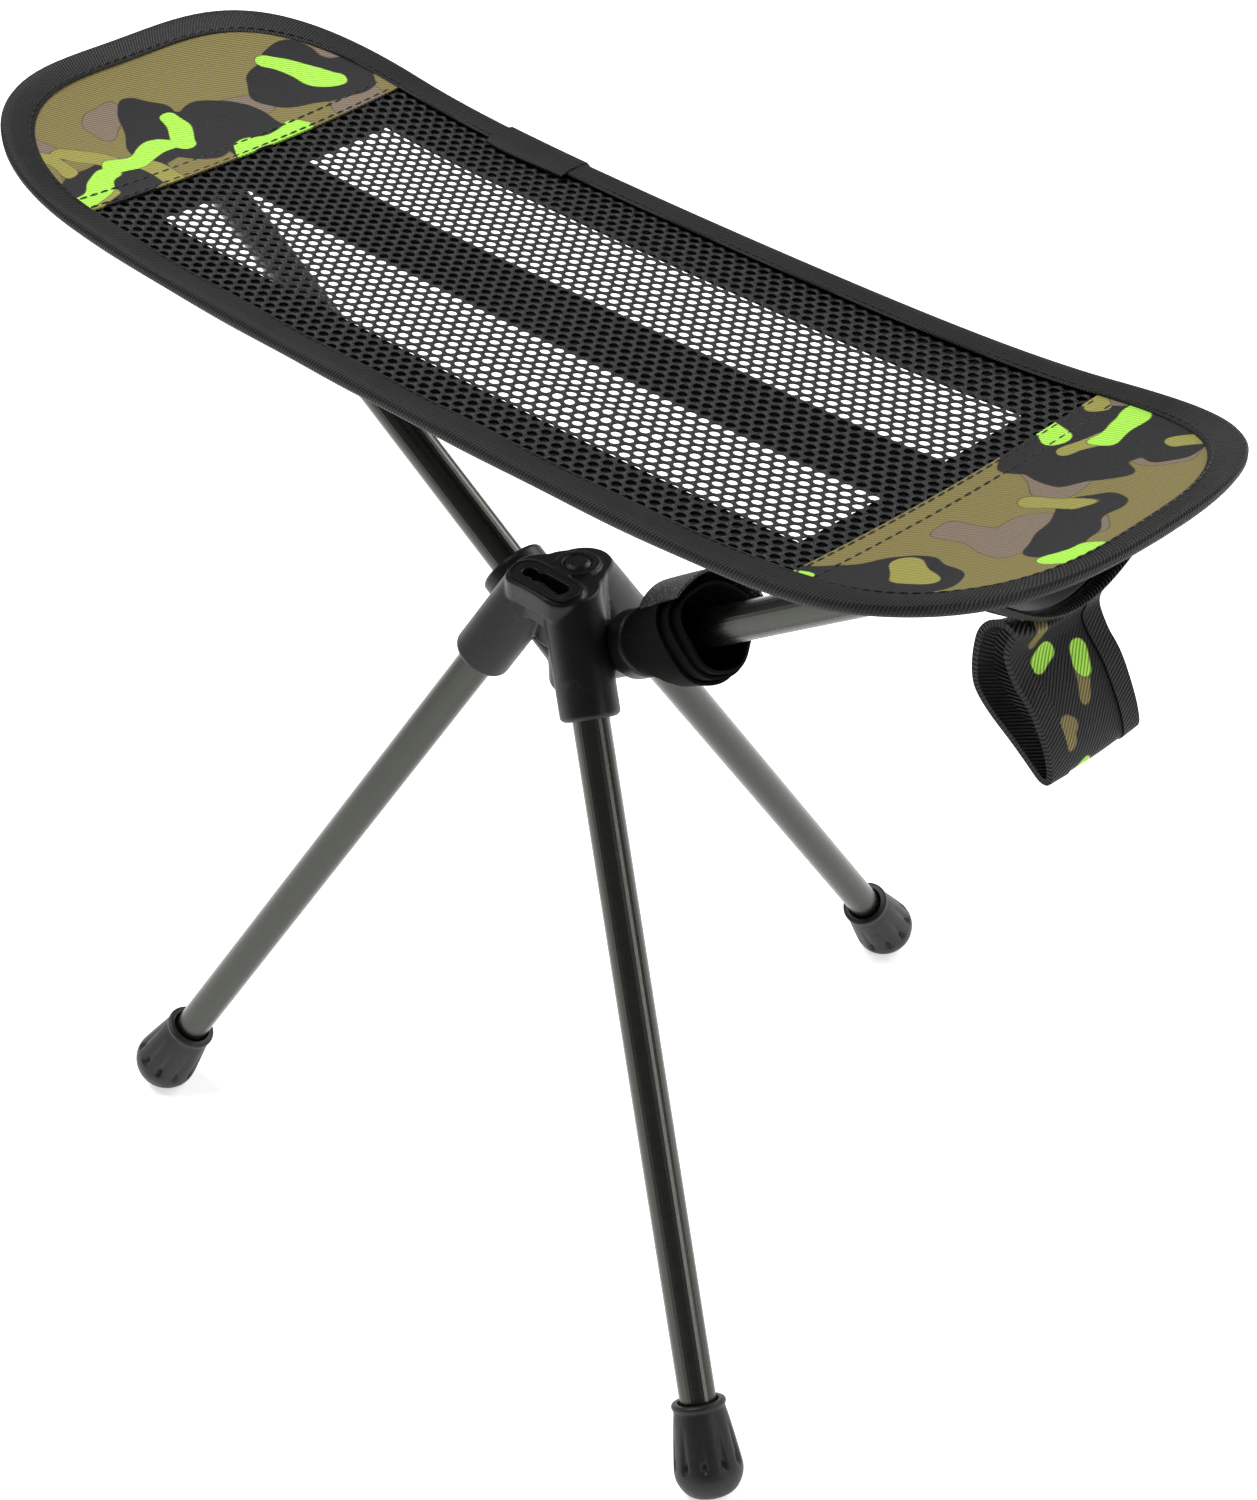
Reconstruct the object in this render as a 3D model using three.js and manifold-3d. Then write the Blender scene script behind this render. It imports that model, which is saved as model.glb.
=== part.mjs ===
// Three leg camp stool with a sling top: a tripod of three tube legs, two rising arms and a mesh seat.
// Millimetres, +Z up. The origin is the centre of the foot print, on the floor.
// The seat runs along X. One leg points to +Y, the other two to -Y, left and right.

import * as THREE from 'three';
import Module from 'manifold-3d';

const wasm = await Module();
wasm.setup();

// ---------------------------------------------------------------- driving sizes
const RAD = Math.PI / 180;
const HUB_Y = -43.90;           // the leg apex sits this far from the centre of the box
const GAP = 0.3;                // clearance between pieces that touch in the real object

const LEG_APEX_Z = 279.5;        // height where the three leg axes meet
const LEG_REACH = 182.7;        // radius at which a leg axis meets the floor
const LEG_AZIMUTHS = { front: -30, left: -150, rear: 90 };
const ARM_OFFSET_Y = 6;         // the arms stand this far behind the leg apex
const ARM_CROSS_Z = 233;        // height where the two arm axes meet
const ARM_RISE = 33 * RAD;
const ARM_REACH_X = 200;        // the arm tubes end here

const TUBE_R = 6.5;
const TUBE_WALL = 0.8;
const SOCKET_R = 10.5;
const BORE_R = TUBE_R + GAP;
const LEG_SOCKET_START = 27;    // along the leg axis from the apex
const LEG_SOCKET_END = 58;
const ARM_SOCKET_START = 28;    // along the arm axis from the crossing
const ARM_SOCKET_END = 41;
const ARM_SOCKET_R = 10.2;
const ARM_COLLAR_R = 12.2;      // the arm sockets flare to a collar at the mouth
const ARM_COLLAR_START = 33;

const HUB_TOP_Z = 271.5;
const HUB_SEGMENTS = 36;
const HUB_CORE_R = 13;
const HUB_CORE_BASE_Z = 245.1;
const HUB_LOBE_R = 7.8;         // raised flat lobes on top: one round the slot, one round the rivet
const HUB_LOBE_H = 1.3;
const HUB_LOBE_BASE_Z = 257;
const HUB_SHOULDER_R = 22.2;    // radius of the dome just under the flat top
const YOKE_TOP_Z = 244.5;
const YOKE_BASE_Z = 221.5;
const YOKE_CORE_R = 11.5;

const RIVET_R = 2.5;
const RIVET_HEAD_R = 4.6;
const RIVET_RECESS = 1.8;
const WASHER_R = 7;
const WASHER_T = 1.6;

const SLOT_Y = -9.5;            // keyhole slot across the top of the leg hub
const SLOT_HALF = 7.4;          // from its middle to the centres of its round ends
const SLOT_SMALL_R = 2.5;
const SLOT_LARGE_R = 3.1;
const SLOT_NECK = 1.7;          // half width of the neck between them
const SLOT_FLOOR_Z = 265;
const CORD_HOLE_R = 2.3;
const CORD_HOLE_BASE_Z = 259;
const CORD_R = 1.5;

const FOOT_BALL_R = 12.2;
const FOOT_BALL_Z = 11;
const FOOT_LENGTH = 23;         // above the centre of the ball

const SEAT_HALF_L = 235.6;
const SEAT_STRAIGHT_X = 159;    // the long edges run to here, then the ends round over
const SEAT_HALF_W = 78.4;
const SEAT_MID_Z = 364;
const SEAT_RISE = 21.9;         // lift of the end edges above the middle
const SEAT_RISE_POWER = 4.9;
const SEAT_CORNER_LIFT = 6.4;
const END_EXP_X = 0.885;        // roundness of the ends
const END_EXP_Y = 0.606;

const BINDING_W = 10.5;
const BINDING_STATIONS = 104;
const WINDOW_X = 146;           // half length of the two see-through windows
const WINDOW_IN_Y = 14;
const WINDOW_OUT_Y = 50;
const SEAM_X = 160;             // inner edge of the end panels
const NET_END_X = 171;

const HANDLE_X = 199;
const HANDLE_TOP_Z = 343;
const HANDLE_HALF_W = 20.5;
const HANDLE_MID_HALF_W = 12.4;
const HANDLE_CUP = 5.2;         // the loop's sides curl up this much at the top, under the pocket
const HANDLE_CUP_DEPTH = 14;    // and are level this far down

// ---------------------------------------------------------------- materials
const material = (color, roughness, metalness = 0) =>
  new THREE.MeshStandardMaterial({ color, roughness, metalness });
const MATERIALS = {
  plastic: material(0x1b1c1c, 0.55),
  rubber: material(0x191a1a, 0.8),
  tube: material(0x34362f, 0.35, 0.8),
  steel: material(0x3a3b3c, 0.4, 0.9),
  cord: material(0x141414, 0.85),
  net: material(0x17181a, 0.8),
  backing: material(0x101112, 0.9),
  camo: material(0x6d6a2c, 0.75),
  binding: material(0x131415, 0.85),
  board: material(0x7c7f80, 0.6),
  hookloop: material(0x0f0f10, 0.95),
};

// ---------------------------------------------------------------- closed bodies from rings
function signedVolume(points, faces) {
  let six = 0;
  for (const [a, b, c] of faces) {
    const [p, q, r] = [points[a], points[b], points[c]];
    six += p[0] * (q[1] * r[2] - q[2] * r[1]);
    six += p[1] * (q[2] * r[0] - q[0] * r[2]);
    six += p[2] * (q[0] * r[1] - q[1] * r[0]);
  }
  return six;
}

function body(points, faces) {
  const flip = signedVolume(points, faces) < 0;
  return { points, faces: flip ? faces.map(([a, b, c]) => [a, c, b]) : faces };
}

// Skins rings of equal length. `loop` joins the last ring to the first; otherwise `cap` closes the ends:
// 'fan' for round ends, 'pair' for thin strips whose two halves run back to back.
function loft(rings, { loop = false, cap = 'fan' } = {}) {
  const n = rings[0].length;
  const points = rings.flat();
  const faces = [];
  const spans = loop ? rings.length : rings.length - 1;
  for (let i = 0; i < spans; i += 1) {
    const here = i * n;
    const next = ((i + 1) % rings.length) * n;
    for (let j = 0; j < n; j += 1) {
      const k = (j + 1) % n;
      faces.push([here + j, here + k, next + k], [here + j, next + k, next + j]);
    }
  }
  if (!loop) {
    capRing(points, faces, rings[0], 0, cap, true);
    capRing(points, faces, rings[rings.length - 1], (rings.length - 1) * n, cap, false);
  }
  return body(points, faces);
}

function capRing(points, faces, ring, start, cap, first) {
  const n = ring.length;
  const push = (a, b, c) => faces.push(first ? [a, c, b] : [a, b, c]);
  if (cap === 'fan') {
    const centre = [0, 1, 2].map((k) => ring.reduce((sum, p) => sum + p[k], 0) / n);
    points.push(centre);
    const hub = points.length - 1;
    for (let j = 0; j < n; j += 1) push(start + j, start + ((j + 1) % n), hub);
    return;
  }
  for (let j = 0; j < n / 2 - 1; j += 1) {
    const far = n - 1 - j;
    push(start + j, start + j + 1, start + far - 1);
    push(start + j, start + far - 1, start + far);
  }
}

// ---------------------------------------------------------------- placing along an axis
function axisFrame(origin, direction) {
  const w = new THREE.Vector3(...direction).normalize();
  const helper = Math.abs(w.z) > 0.95 ? new THREE.Vector3(1, 0, 0) : new THREE.Vector3(0, 0, 1);
  const u = new THREE.Vector3().crossVectors(helper, w).normalize();
  const v = new THREE.Vector3().crossVectors(w, u);
  return (r, angle, along) => {
    const c = r * Math.cos(angle);
    const s = r * Math.sin(angle);
    return [
      origin[0] + c * u.x + s * v.x + along * w.x,
      origin[1] + c * u.y + s * v.y + along * w.y,
      origin[2] + c * u.z + s * v.z + along * w.z,
    ];
  };
}

// A turned solid: profile of [radius, distance along the axis].
function turned(place, profile, segments = 32) {
  const rings = profile.map(([r, along]) =>
    Array.from({ length: segments }, (_, k) => place(r, (2 * Math.PI * k) / segments, along)));
  return loft(rings);
}

// A turned ring: the profile is a closed loop that stays off the axis.
function turnedRing(place, profile, segments = 32) {
  const rings = Array.from({ length: segments }, (_, k) =>
    profile.map(([r, along]) => place(r, (2 * Math.PI * k) / segments, along)));
  return loft(rings, { loop: true });
}

const rod = (place, r, from, to, segments = 32) => turned(place, [[r, from], [r, to]], segments);
const hollow = (place, outer, inner, from, to, segments = 32) =>
  turnedRing(place, [[outer, from], [outer, to], [inner, to], [inner, from]], segments);

// ---------------------------------------------------------------- joins and cuts
function toManifold({ points, faces }) {
  return new wasm.Manifold(new wasm.Mesh({
    numProp: 3,
    vertProperties: new Float32Array(points.flat()),
    triVerts: new Uint32Array(faces.flat()),
  }));
}

function fromManifold(manifold) {
  const { vertProperties, triVerts, numProp } = manifold.getMesh();
  const points = [];
  for (let i = 0; i < vertProperties.length; i += numProp) {
    points.push([vertProperties[i], vertProperties[i + 1], vertProperties[i + 2]]);
  }
  const faces = [];
  for (let i = 0; i < triVerts.length; i += 3) {
    faces.push([triVerts[i], triVerts[i + 1], triVerts[i + 2]]);
  }
  return body(points, faces);
}

const join = (shapes) => shapes.map(toManifold).reduce((all, next) => all.add(next));
const cut = (base, shapes) => shapes.map(toManifold).reduce((rest, tool) => rest.subtract(tool), base);

// ---------------------------------------------------------------- axes of the frame
const LEG_TILT = Math.atan2(LEG_REACH, LEG_APEX_Z);

function legAxis(azimuth) {
  const a = azimuth * RAD;
  return axisFrame(
    [0, 0, LEG_APEX_Z],
    [Math.cos(a) * Math.sin(LEG_TILT), Math.sin(a) * Math.sin(LEG_TILT), -Math.cos(LEG_TILT)],
  );
}

const armAxis = (side) =>
  axisFrame([0, ARM_OFFSET_Y, ARM_CROSS_Z], [side * Math.cos(ARM_RISE), 0, Math.sin(ARM_RISE)]);
const upright = (x, y) => axisFrame([x, y, 0], [0, 0, 1]);

const FOOT_BALL_AT = (LEG_APEX_Z - FOOT_BALL_Z) / Math.cos(LEG_TILT);
const ARM_END = ARM_REACH_X / Math.cos(ARM_RISE);
const SIDES = { left: -1, right: 1 };

// ---------------------------------------------------------------- hub
// The outside of the leg hub; `grow` swells it so the arm yoke can be relieved around it.
function legHubOutside(grow) {
  const shapes = Object.values(LEG_AZIMUTHS).map((azimuth) =>
    turned(legAxis(azimuth), [
      [SOCKET_R + grow, 2],
      [SOCKET_R + grow, LEG_SOCKET_END - 1.2],
      [SOCKET_R - 1.2 + grow, LEG_SOCKET_END + grow],
    ], HUB_SEGMENTS));
  shapes.push(rod(upright(0, 2), HUB_CORE_R + grow, HUB_CORE_BASE_Z - grow, HUB_TOP_Z));
  if (grow === 0) {
    shapes.push(hubLobe(HUB_LOBE_BASE_Z + 6, HUB_TOP_Z));
    shapes.push(hubLobe(HUB_LOBE_BASE_Z, HUB_LOBE_BASE_Z + 7, HUB_LOBE_R - 2.5));
  }
  return join(shapes);
}

// A dome that rounds the shoulder between the flat top and the three sockets.
function hubDome() {
  const slope = Math.tan(LEG_TILT);
  const skirtZ = 200;
  return turned(upright(0, 0), [
    [HUB_SHOULDER_R + 1 + (HUB_TOP_Z - 4 - skirtZ) * slope, skirtZ],
    [HUB_SHOULDER_R + 1, HUB_TOP_Z - 4],
    [HUB_SHOULDER_R - 1.4, HUB_TOP_Z - 2],
    [HUB_SHOULDER_R - 4, HUB_TOP_Z - 0.6],
    [HUB_SHOULDER_R - 7, HUB_TOP_Z],
  ], HUB_SEGMENTS);
}

// An upright bar with round ends lying along X: [centre, radius] of its left and right end.
function stadium([leftX, leftR], [rightX, rightR], y, low, high) {
  const steps = 13;
  const arc = (cx, r, from) => Array.from({ length: steps }, (_, k) => {
    const a = from + (Math.PI * k) / (steps - 1);
    return [cx + r * Math.cos(a), y + r * Math.sin(a)];
  });
  const outlineXY = [...arc(rightX, rightR, -Math.PI / 2), ...arc(leftX, leftR, Math.PI / 2)];
  return loft([low, high].map((z) => outlineXY.map(([x, py]) => [x, py, z])));
}

const hubLobe = (low, high, r = HUB_LOBE_R) =>
  stadium([-SLOT_HALF - 1, r], [SLOT_HALF + 1, r], SLOT_Y, low, high);

// Everything in the top layer that is not one of the two lobes.
function hubTopRelief() {
  const low = HUB_TOP_Z - HUB_LOBE_H;
  const high = HUB_TOP_Z + 1;
  const slab = toManifold(rod(upright(0, 0), 40, low, high));
  return slab.subtract(toManifold(hubLobe(low - 1, high + 1)))
    .subtract(toManifold(rod(upright(0, ARM_OFFSET_Y), HUB_LOBE_R, low - 1, high + 1, HUB_SEGMENTS)));
}

function legHub() {
  const bores = Object.values(LEG_AZIMUTHS).map((azimuth) =>
    rod(legAxis(azimuth), BORE_R, LEG_SOCKET_START, LEG_SOCKET_END + 2));
  const cordHoles = [-1, 1].map((side) =>
    rod(upright(side * SLOT_HALF, SLOT_Y), CORD_HOLE_R, CORD_HOLE_BASE_Z, HUB_TOP_Z + 1, 20));
  const slot = [
    stadium([-SLOT_HALF, SLOT_SMALL_R], [-SLOT_HALF + 0.5, SLOT_SMALL_R], SLOT_Y, SLOT_FLOOR_Z, HUB_TOP_Z + 1),
    stadium([-SLOT_HALF, SLOT_NECK], [SLOT_HALF, SLOT_NECK], SLOT_Y, SLOT_FLOOR_Z, HUB_TOP_Z + 1),
    stadium([-SLOT_NECK, SLOT_LARGE_R], [SLOT_HALF, SLOT_LARGE_R], SLOT_Y, SLOT_FLOOR_Z, HUB_TOP_Z + 1),
  ];
  const rivetHole = rod(upright(0, ARM_OFFSET_Y), RIVET_R + GAP, YOKE_BASE_Z, HUB_TOP_Z + 1, 24);
  const rivetRecess = rod(upright(0, ARM_OFFSET_Y), RIVET_HEAD_R + GAP,
    HUB_TOP_Z - RIVET_RECESS, HUB_TOP_Z + 1);
  const outside = legHubOutside(0).intersect(toManifold(hubDome())).subtract(hubTopRelief());
  return fromManifold(cut(outside, [...bores, ...cordHoles, ...slot, rivetHole, rivetRecess]));
}

function armYoke() {
  const core = turned(upright(0, ARM_OFFSET_Y), [
    [YOKE_CORE_R - 2, YOKE_BASE_Z],
    [YOKE_CORE_R, YOKE_BASE_Z + 2],
    [YOKE_CORE_R, YOKE_TOP_Z],
  ]);
  const sockets = Object.values(SIDES).map((side) => turned(armAxis(side), [
    [ARM_SOCKET_R, 2],
    [ARM_SOCKET_R, ARM_COLLAR_START - 5],
    [ARM_COLLAR_R, ARM_COLLAR_START],
    [ARM_COLLAR_R, ARM_SOCKET_END - 1],
    [ARM_COLLAR_R - 1, ARM_SOCKET_END],
  ], HUB_SEGMENTS));
  const bores = Object.values(SIDES).map((side) =>
    rod(armAxis(side), BORE_R, ARM_SOCKET_START, ARM_SOCKET_END + 2));
  const rivetHole = rod(upright(0, ARM_OFFSET_Y), RIVET_R + GAP, YOKE_BASE_Z - 2, YOKE_TOP_Z + 2, 24);
  return fromManifold(cut(join([core, ...sockets]).subtract(legHubOutside(GAP)), [...bores, rivetHole]));
}

function hubRivet() {
  const seat = HUB_TOP_Z - RIVET_RECESS + 0.2;
  return turned(upright(0, ARM_OFFSET_Y), [
    [RIVET_R, YOKE_BASE_Z - WASHER_T - 2.2],
    [RIVET_R, seat],
    [RIVET_HEAD_R, seat],
    [RIVET_HEAD_R, HUB_TOP_Z - 0.3],
    [RIVET_HEAD_R - 1.2, HUB_TOP_Z + 0.5],
  ]);
}

const rivetWasher = () => hollow(upright(0, ARM_OFFSET_Y), WASHER_R, RIVET_R + GAP,
  YOKE_BASE_Z - GAP - WASHER_T, YOKE_BASE_Z - GAP);

// The cord that crosses the slot between the left and the front leg.
function hubCord() {
  const half = SLOT_HALF;
  const low = CORD_HOLE_BASE_Z + 1;
  const crest = SLOT_FLOOR_Z + CORD_R + 1;
  const path = [[-half, low], [-half, crest - 3], [-half + 1.2, crest - 0.8], [-half + 4, crest]];
  const route = [...path, ...path.map(([x, z]) => [-x, z]).reverse()];
  const rings = route.map(([x, z], i) => {
    const [ax, az] = route[Math.max(i - 1, 0)];
    const [bx, bz] = route[Math.min(i + 1, route.length - 1)];
    const angle = Math.atan2(bz - az, bx - ax);
    return Array.from({ length: 12 }, (_, k) => {
      const a = (2 * Math.PI * k) / 12;
      const side = CORD_R * Math.sin(a);
      return [x - side * Math.sin(angle), SLOT_Y + CORD_R * Math.cos(a), z + side * Math.cos(angle)];
    });
  });
  return loft(rings);
}

// ---------------------------------------------------------------- legs
const CORD_PLUG_LENGTH = 8;

const legTube = (azimuth) => hollow(legAxis(azimuth), TUBE_R, TUBE_R - TUBE_WALL,
  LEG_SOCKET_START + 0.5, FOOT_BALL_AT - 4);

function rubberFoot(azimuth) {
  const b = FOOT_BALL_AT;
  const ball = [70, 50, 30, 12].map((deg) =>
    [FOOT_BALL_R * Math.cos(deg * RAD), b + FOOT_BALL_R * Math.sin(deg * RAD)]);
  const solid = turned(legAxis(azimuth), [
    ...ball,
    [FOOT_BALL_R, b - 1.5],
    [11.3, b - 7],
    [10.1, b - 13],
    [9.2, b - FOOT_LENGTH + 2.2],
    [9.6, b - FOOT_LENGTH + 1.2],
    [9.1, b - FOOT_LENGTH],
  ]);
  const bore = rod(legAxis(azimuth), BORE_R, b - 3.7, b - FOOT_LENGTH - 2);
  const floor = loft([-20, 0].map((z) => squareAround(legAxis(azimuth)(0, 0, b), 30, z)));
  return fromManifold(cut(toManifold(solid), [bore, floor]));
}

const squareAround = ([x, y], half, z) =>
  [[x - half, y - half, z], [x + half, y - half, z], [x + half, y + half, z], [x - half, y + half, z]];

const legCord = (azimuth) => rod(legAxis(azimuth), CORD_R,
  LEG_SOCKET_START + 2, FOOT_BALL_AT - 5 - CORD_PLUG_LENGTH, 12);
const cordPlug = (azimuth) => rod(legAxis(azimuth), TUBE_R - TUBE_WALL - GAP,
  FOOT_BALL_AT - 4.4 - CORD_PLUG_LENGTH, FOOT_BALL_AT - 4.4, 20);

// ---------------------------------------------------------------- arms
const armTube = (side) => hollow(armAxis(side), TUBE_R, TUBE_R - TUBE_WALL,
  ARM_SOCKET_START + 0.5, ARM_END);

const armTip = (side) => turned(armAxis(side), [
  [4.8, ARM_END - 10],
  [TUBE_R - TUBE_WALL - GAP, ARM_END - 9],
  [TUBE_R - TUBE_WALL - GAP, ARM_END + GAP],
  [7.1, ARM_END + GAP],
  [7.1, ARM_END + 3],
  [5.6, ARM_END + 5.6],
  [2.6, ARM_END + 7],
]);

// ---------------------------------------------------------------- seat surface
const seatZ = (x, y) => {
  const reach = Math.abs(x) / SEAT_HALF_L;
  const across = (y - ARM_OFFSET_Y) / SEAT_HALF_W;
  return SEAT_MID_Z + SEAT_RISE * reach ** SEAT_RISE_POWER + SEAT_CORNER_LIFT * across ** 2 * reach ** 2;
};

// Half width of the seat at x, drawn in from the outline by `inset`.
function halfWidth(x, inset) {
  const beyond = Math.abs(x) - SEAT_STRAIGHT_X;
  if (beyond <= 0) return SEAT_HALF_W - inset;
  const t = Math.min(beyond / (SEAT_HALF_L - inset - SEAT_STRAIGHT_X), 1) ** (1 / END_EXP_X);
  return (SEAT_HALF_W - inset) * Math.sqrt(1 - t * t) ** END_EXP_Y;
}

// A thin sheet that follows the seat surface over columns of [x, low y, high y].
function seatSheet(columns, rows, under, over) {
  const rings = columns.map(([x, low, high]) => {
    const ys = Array.from({ length: rows + 1 }, (_, j) => low + ((high - low) * j) / rows);
    const lift = (offset) => (typeof offset === 'function' ? offset : () => offset);
    const at = (y, offset) => [x, y, seatZ(x, y) + lift(offset)(x, y)];
    return [...ys.map((y) => at(y, over)), ...ys.reverse().map((y) => at(y, under))];
  });
  return loft(rings, { cap: 'pair' });
}

const spread = (from, to, count) =>
  Array.from({ length: count + 1 }, (_, i) => from + ((to - from) * i) / count);
const band = (xs, low, high) => xs.map((x) => [x, ARM_OFFSET_Y + low, ARM_OFFSET_Y + high]);
const fullWidth = (xs, inset) => xs.map((x) => {
  const w = halfWidth(x, inset);
  return [x, ARM_OFFSET_Y - w, ARM_OFFSET_Y + w];
});

const EDGE_INSET = 1.6;
const BACKING_INSET = 1.6;
const NET = [-0.5, 0.5];
const BACKING = [-1.5, -0.8];
const PANEL = [0.8, 1.4];
const END_BACKING = [-0.8, 0.4];
const BINDING_OVER = [1.7, 2.4];
const BINDING_UNDER = [-1.8, -2.5];

const seatNet = () => seatSheet(fullWidth(spread(-NET_END_X, NET_END_X, 36), EDGE_INSET), 8, ...NET);

function longStrip(low, high) {
  return seatSheet(band(spread(-WINDOW_X, WINDOW_X, 34), low, high), 2, ...BACKING);
}

function crossStrip(side) {
  const xs = spread(WINDOW_X + GAP, NET_END_X, 4).map((x) => side * x);
  return seatSheet(fullWidth(xs, BACKING_INSET), 8, ...BACKING);
}

// Columns that bunch toward the rounded end, stopping just short of the tip.
function endColumns(from, inset, side, count) {
  const span = SEAT_HALF_L - inset - from;
  return fullWidth(spread(0, 87, count).map((deg) => side * (from + span * Math.sin(deg * RAD))), inset);
}

const endPanel = (side) => seatSheet(endColumns(SEAM_X, EDGE_INSET, side, 16), 10, ...PANEL);
const endBacking = (side) => seatSheet(endColumns(NET_END_X + 1, EDGE_INSET, side, 14), 8, ...END_BACKING);

// ---------------------------------------------------------------- seat edge binding
function outline(count) {
  const points = [];
  const half = spread(-90, 90, count).map((deg) => deg * RAD);
  for (const side of [1, -1]) {
    for (const a of half) {
      const reach = Math.max(Math.cos(a), 1e-4) ** END_EXP_X;
      const x = SEAT_STRAIGHT_X + (SEAT_HALF_L - SEAT_STRAIGHT_X) * reach;
      const y = SEAT_HALF_W * Math.sign(a) * Math.abs(Math.sin(a)) ** END_EXP_Y;
      points.push([side * x, side * y]);
    }
    const xs = spread(SEAT_STRAIGHT_X, -SEAT_STRAIGHT_X, 22).slice(1, -1);
    for (const x of xs) points.push([side * x, side * SEAT_HALF_W]);
  }
  return evenly(points, BINDING_STATIONS);
}

// The same closed line with its points at equal distances.
function evenly(points, count) {
  const closed = [...points, points[0]];
  const lengths = [0];
  for (let i = 1; i < closed.length; i += 1) {
    lengths.push(lengths[i - 1] + Math.hypot(closed[i][0] - closed[i - 1][0], closed[i][1] - closed[i - 1][1]));
  }
  const total = lengths[lengths.length - 1];
  const out = [];
  let seg = 1;
  for (let k = 0; k < count; k += 1) {
    const target = (total * k) / count;
    while (lengths[seg] < target) seg += 1;
    const f = (target - lengths[seg - 1]) / (lengths[seg] - lengths[seg - 1]);
    out.push([0, 1].map((i) => closed[seg - 1][i] + f * (closed[seg][i] - closed[seg - 1][i])));
  }
  return out;
}

// A folded tape: over, round and under the edge of the sheet, along a line of [x, y] points.
function foldedTape(line, width, over, under, { loop = false, wall = 0.8, surface = seatZ } = {}) {
  const count = line.length;
  const rings = line.map(([x, y], i) => {
    const before = loop ? line[(i + count - 1) % count] : line[Math.max(i - 1, 0)];
    const after = loop ? line[(i + 1) % count] : line[Math.min(i + 1, count - 1)];
    const along = [after[0] - before[0], after[1] - before[1]];
    const length = Math.hypot(...along);
    const inward = [-along[1] / length, along[0] / length];
    const at = ([depth, lift]) => {
      const px = x + inward[0] * depth;
      const py = y + inward[1] * depth;
      return [px, py + ARM_OFFSET_Y, surface(px, py + ARM_OFFSET_Y) + lift];
    };
    const outer = [[width, over[1]], [0.5, over[1]], [0, over[1] - 0.6], [0, under[1] + 0.6],
      [0.5, under[1]], [width, under[1]]];
    const inner = [[width, under[0]], [wall + 0.2, under[0]], [wall, under[0] + 0.2],
      [wall, over[0] - 0.2], [wall + 0.2, over[0]], [width, over[0]]];
    return [...outer, ...inner].map(at);
  });
  return loft(rings, { loop, cap: 'pair' });
}

const edgeBinding = () => foldedTape(outline(26), BINDING_W, BINDING_OVER, BINDING_UNDER, { loop: true });

// The overlap where the two ends of the edge tape are sewn together, on the back edge.
function bindingJoin() {
  const lift = BINDING_OVER[1] + GAP;
  const xs = spread(-110, -72, 4);
  return seatSheet(band(xs, SEAT_HALF_W - BINDING_W - 3, SEAT_HALF_W - 0.5), 2, lift, lift + 0.8);
}

// ---------------------------------------------------------------- pockets under the ends
const POCKET = { inX: 190, outX: 209, halfW: 48, inDrop: 21.5, outDrop: 21.5, clear: 4.4, cloth: 0.9 };
const LINER = { inX: 191, outX: 203.5, halfW: 40, lift: 0.3, thick: 0.6 };
const POCKET_TAPE_W = 6;
const TAB_T = 1.2;

function pocketDrop(x, y) {
  const f = (Math.abs(x) - POCKET.inX) / (POCKET.outX - POCKET.inX);
  const depth = POCKET.inDrop + (POCKET.outDrop - POCKET.inDrop) * f;
  const across = Math.min(Math.abs(y - ARM_OFFSET_Y) / POCKET.halfW, 1);
  return -POCKET.clear - depth * (1 - across ** 2) ** 1.5;
}

function pocket(side) {
  const xs = spread(POCKET.inX, POCKET.outX, 4).map((x) => side * x);
  return seatSheet(band(xs, -POCKET.halfW, POCKET.halfW), 18,
    (x, y) => pocketDrop(x, y) - POCKET.cloth, pocketDrop);
}

// The smooth grey sheet that lines the pocket.
function pocketLiner(side) {
  const xs = spread(LINER.inX, LINER.outX, 4).map((x) => side * x);
  return seatSheet(band(xs, -LINER.halfW, LINER.halfW), 16,
    (x, y) => pocketDrop(x, y) + LINER.lift, (x, y) => pocketDrop(x, y) + LINER.lift + LINER.thick);
}

function pocketBinding(side) {
  const ys = spread(-POCKET.halfW, POCKET.halfW, 18).map((y) => side * y);
  const line = ys.map((y) => [side * (POCKET.outX + 1.4), y]);
  const surface = (x, y) => seatZ(x, y) + pocketDrop(x, y) - POCKET.cloth / 2;
  const over = [0.75, 1.35];
  const under = [-0.75, -1.35];
  return foldedTape(line, POCKET_TAPE_W, over, under, { wall: 0.7, surface });
}

// ---------------------------------------------------------------- handle loop under the right end
// Centre line of the loop seen from the front, from the top round the inner limb and back.
const HANDLE_LINE = [
  [0, 0], [-4.8, -0.9], [-8.4, -4.2], [-9.7, -9], [-9.6, -14.5], [-8, -20], [-3, -25.3], [5, -31.6], [13, -38],
  [16.8, -40.6], [19.4, -40.4], [20.2, -37.5], [17.6, -29.4], [11.4, -18.7], [4.4, -11.6], [1.6, -7.2],
  [2.6, -3.4], [3.2, -1.2],
];

// How far the webbing curls up at y across, z below the top of the loop.
const handleCup = (y, z) =>
  HANDLE_CUP * (y / HANDLE_HALF_W) ** 2 * Math.max(1 + z / HANDLE_CUP_DEPTH, 0);

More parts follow.
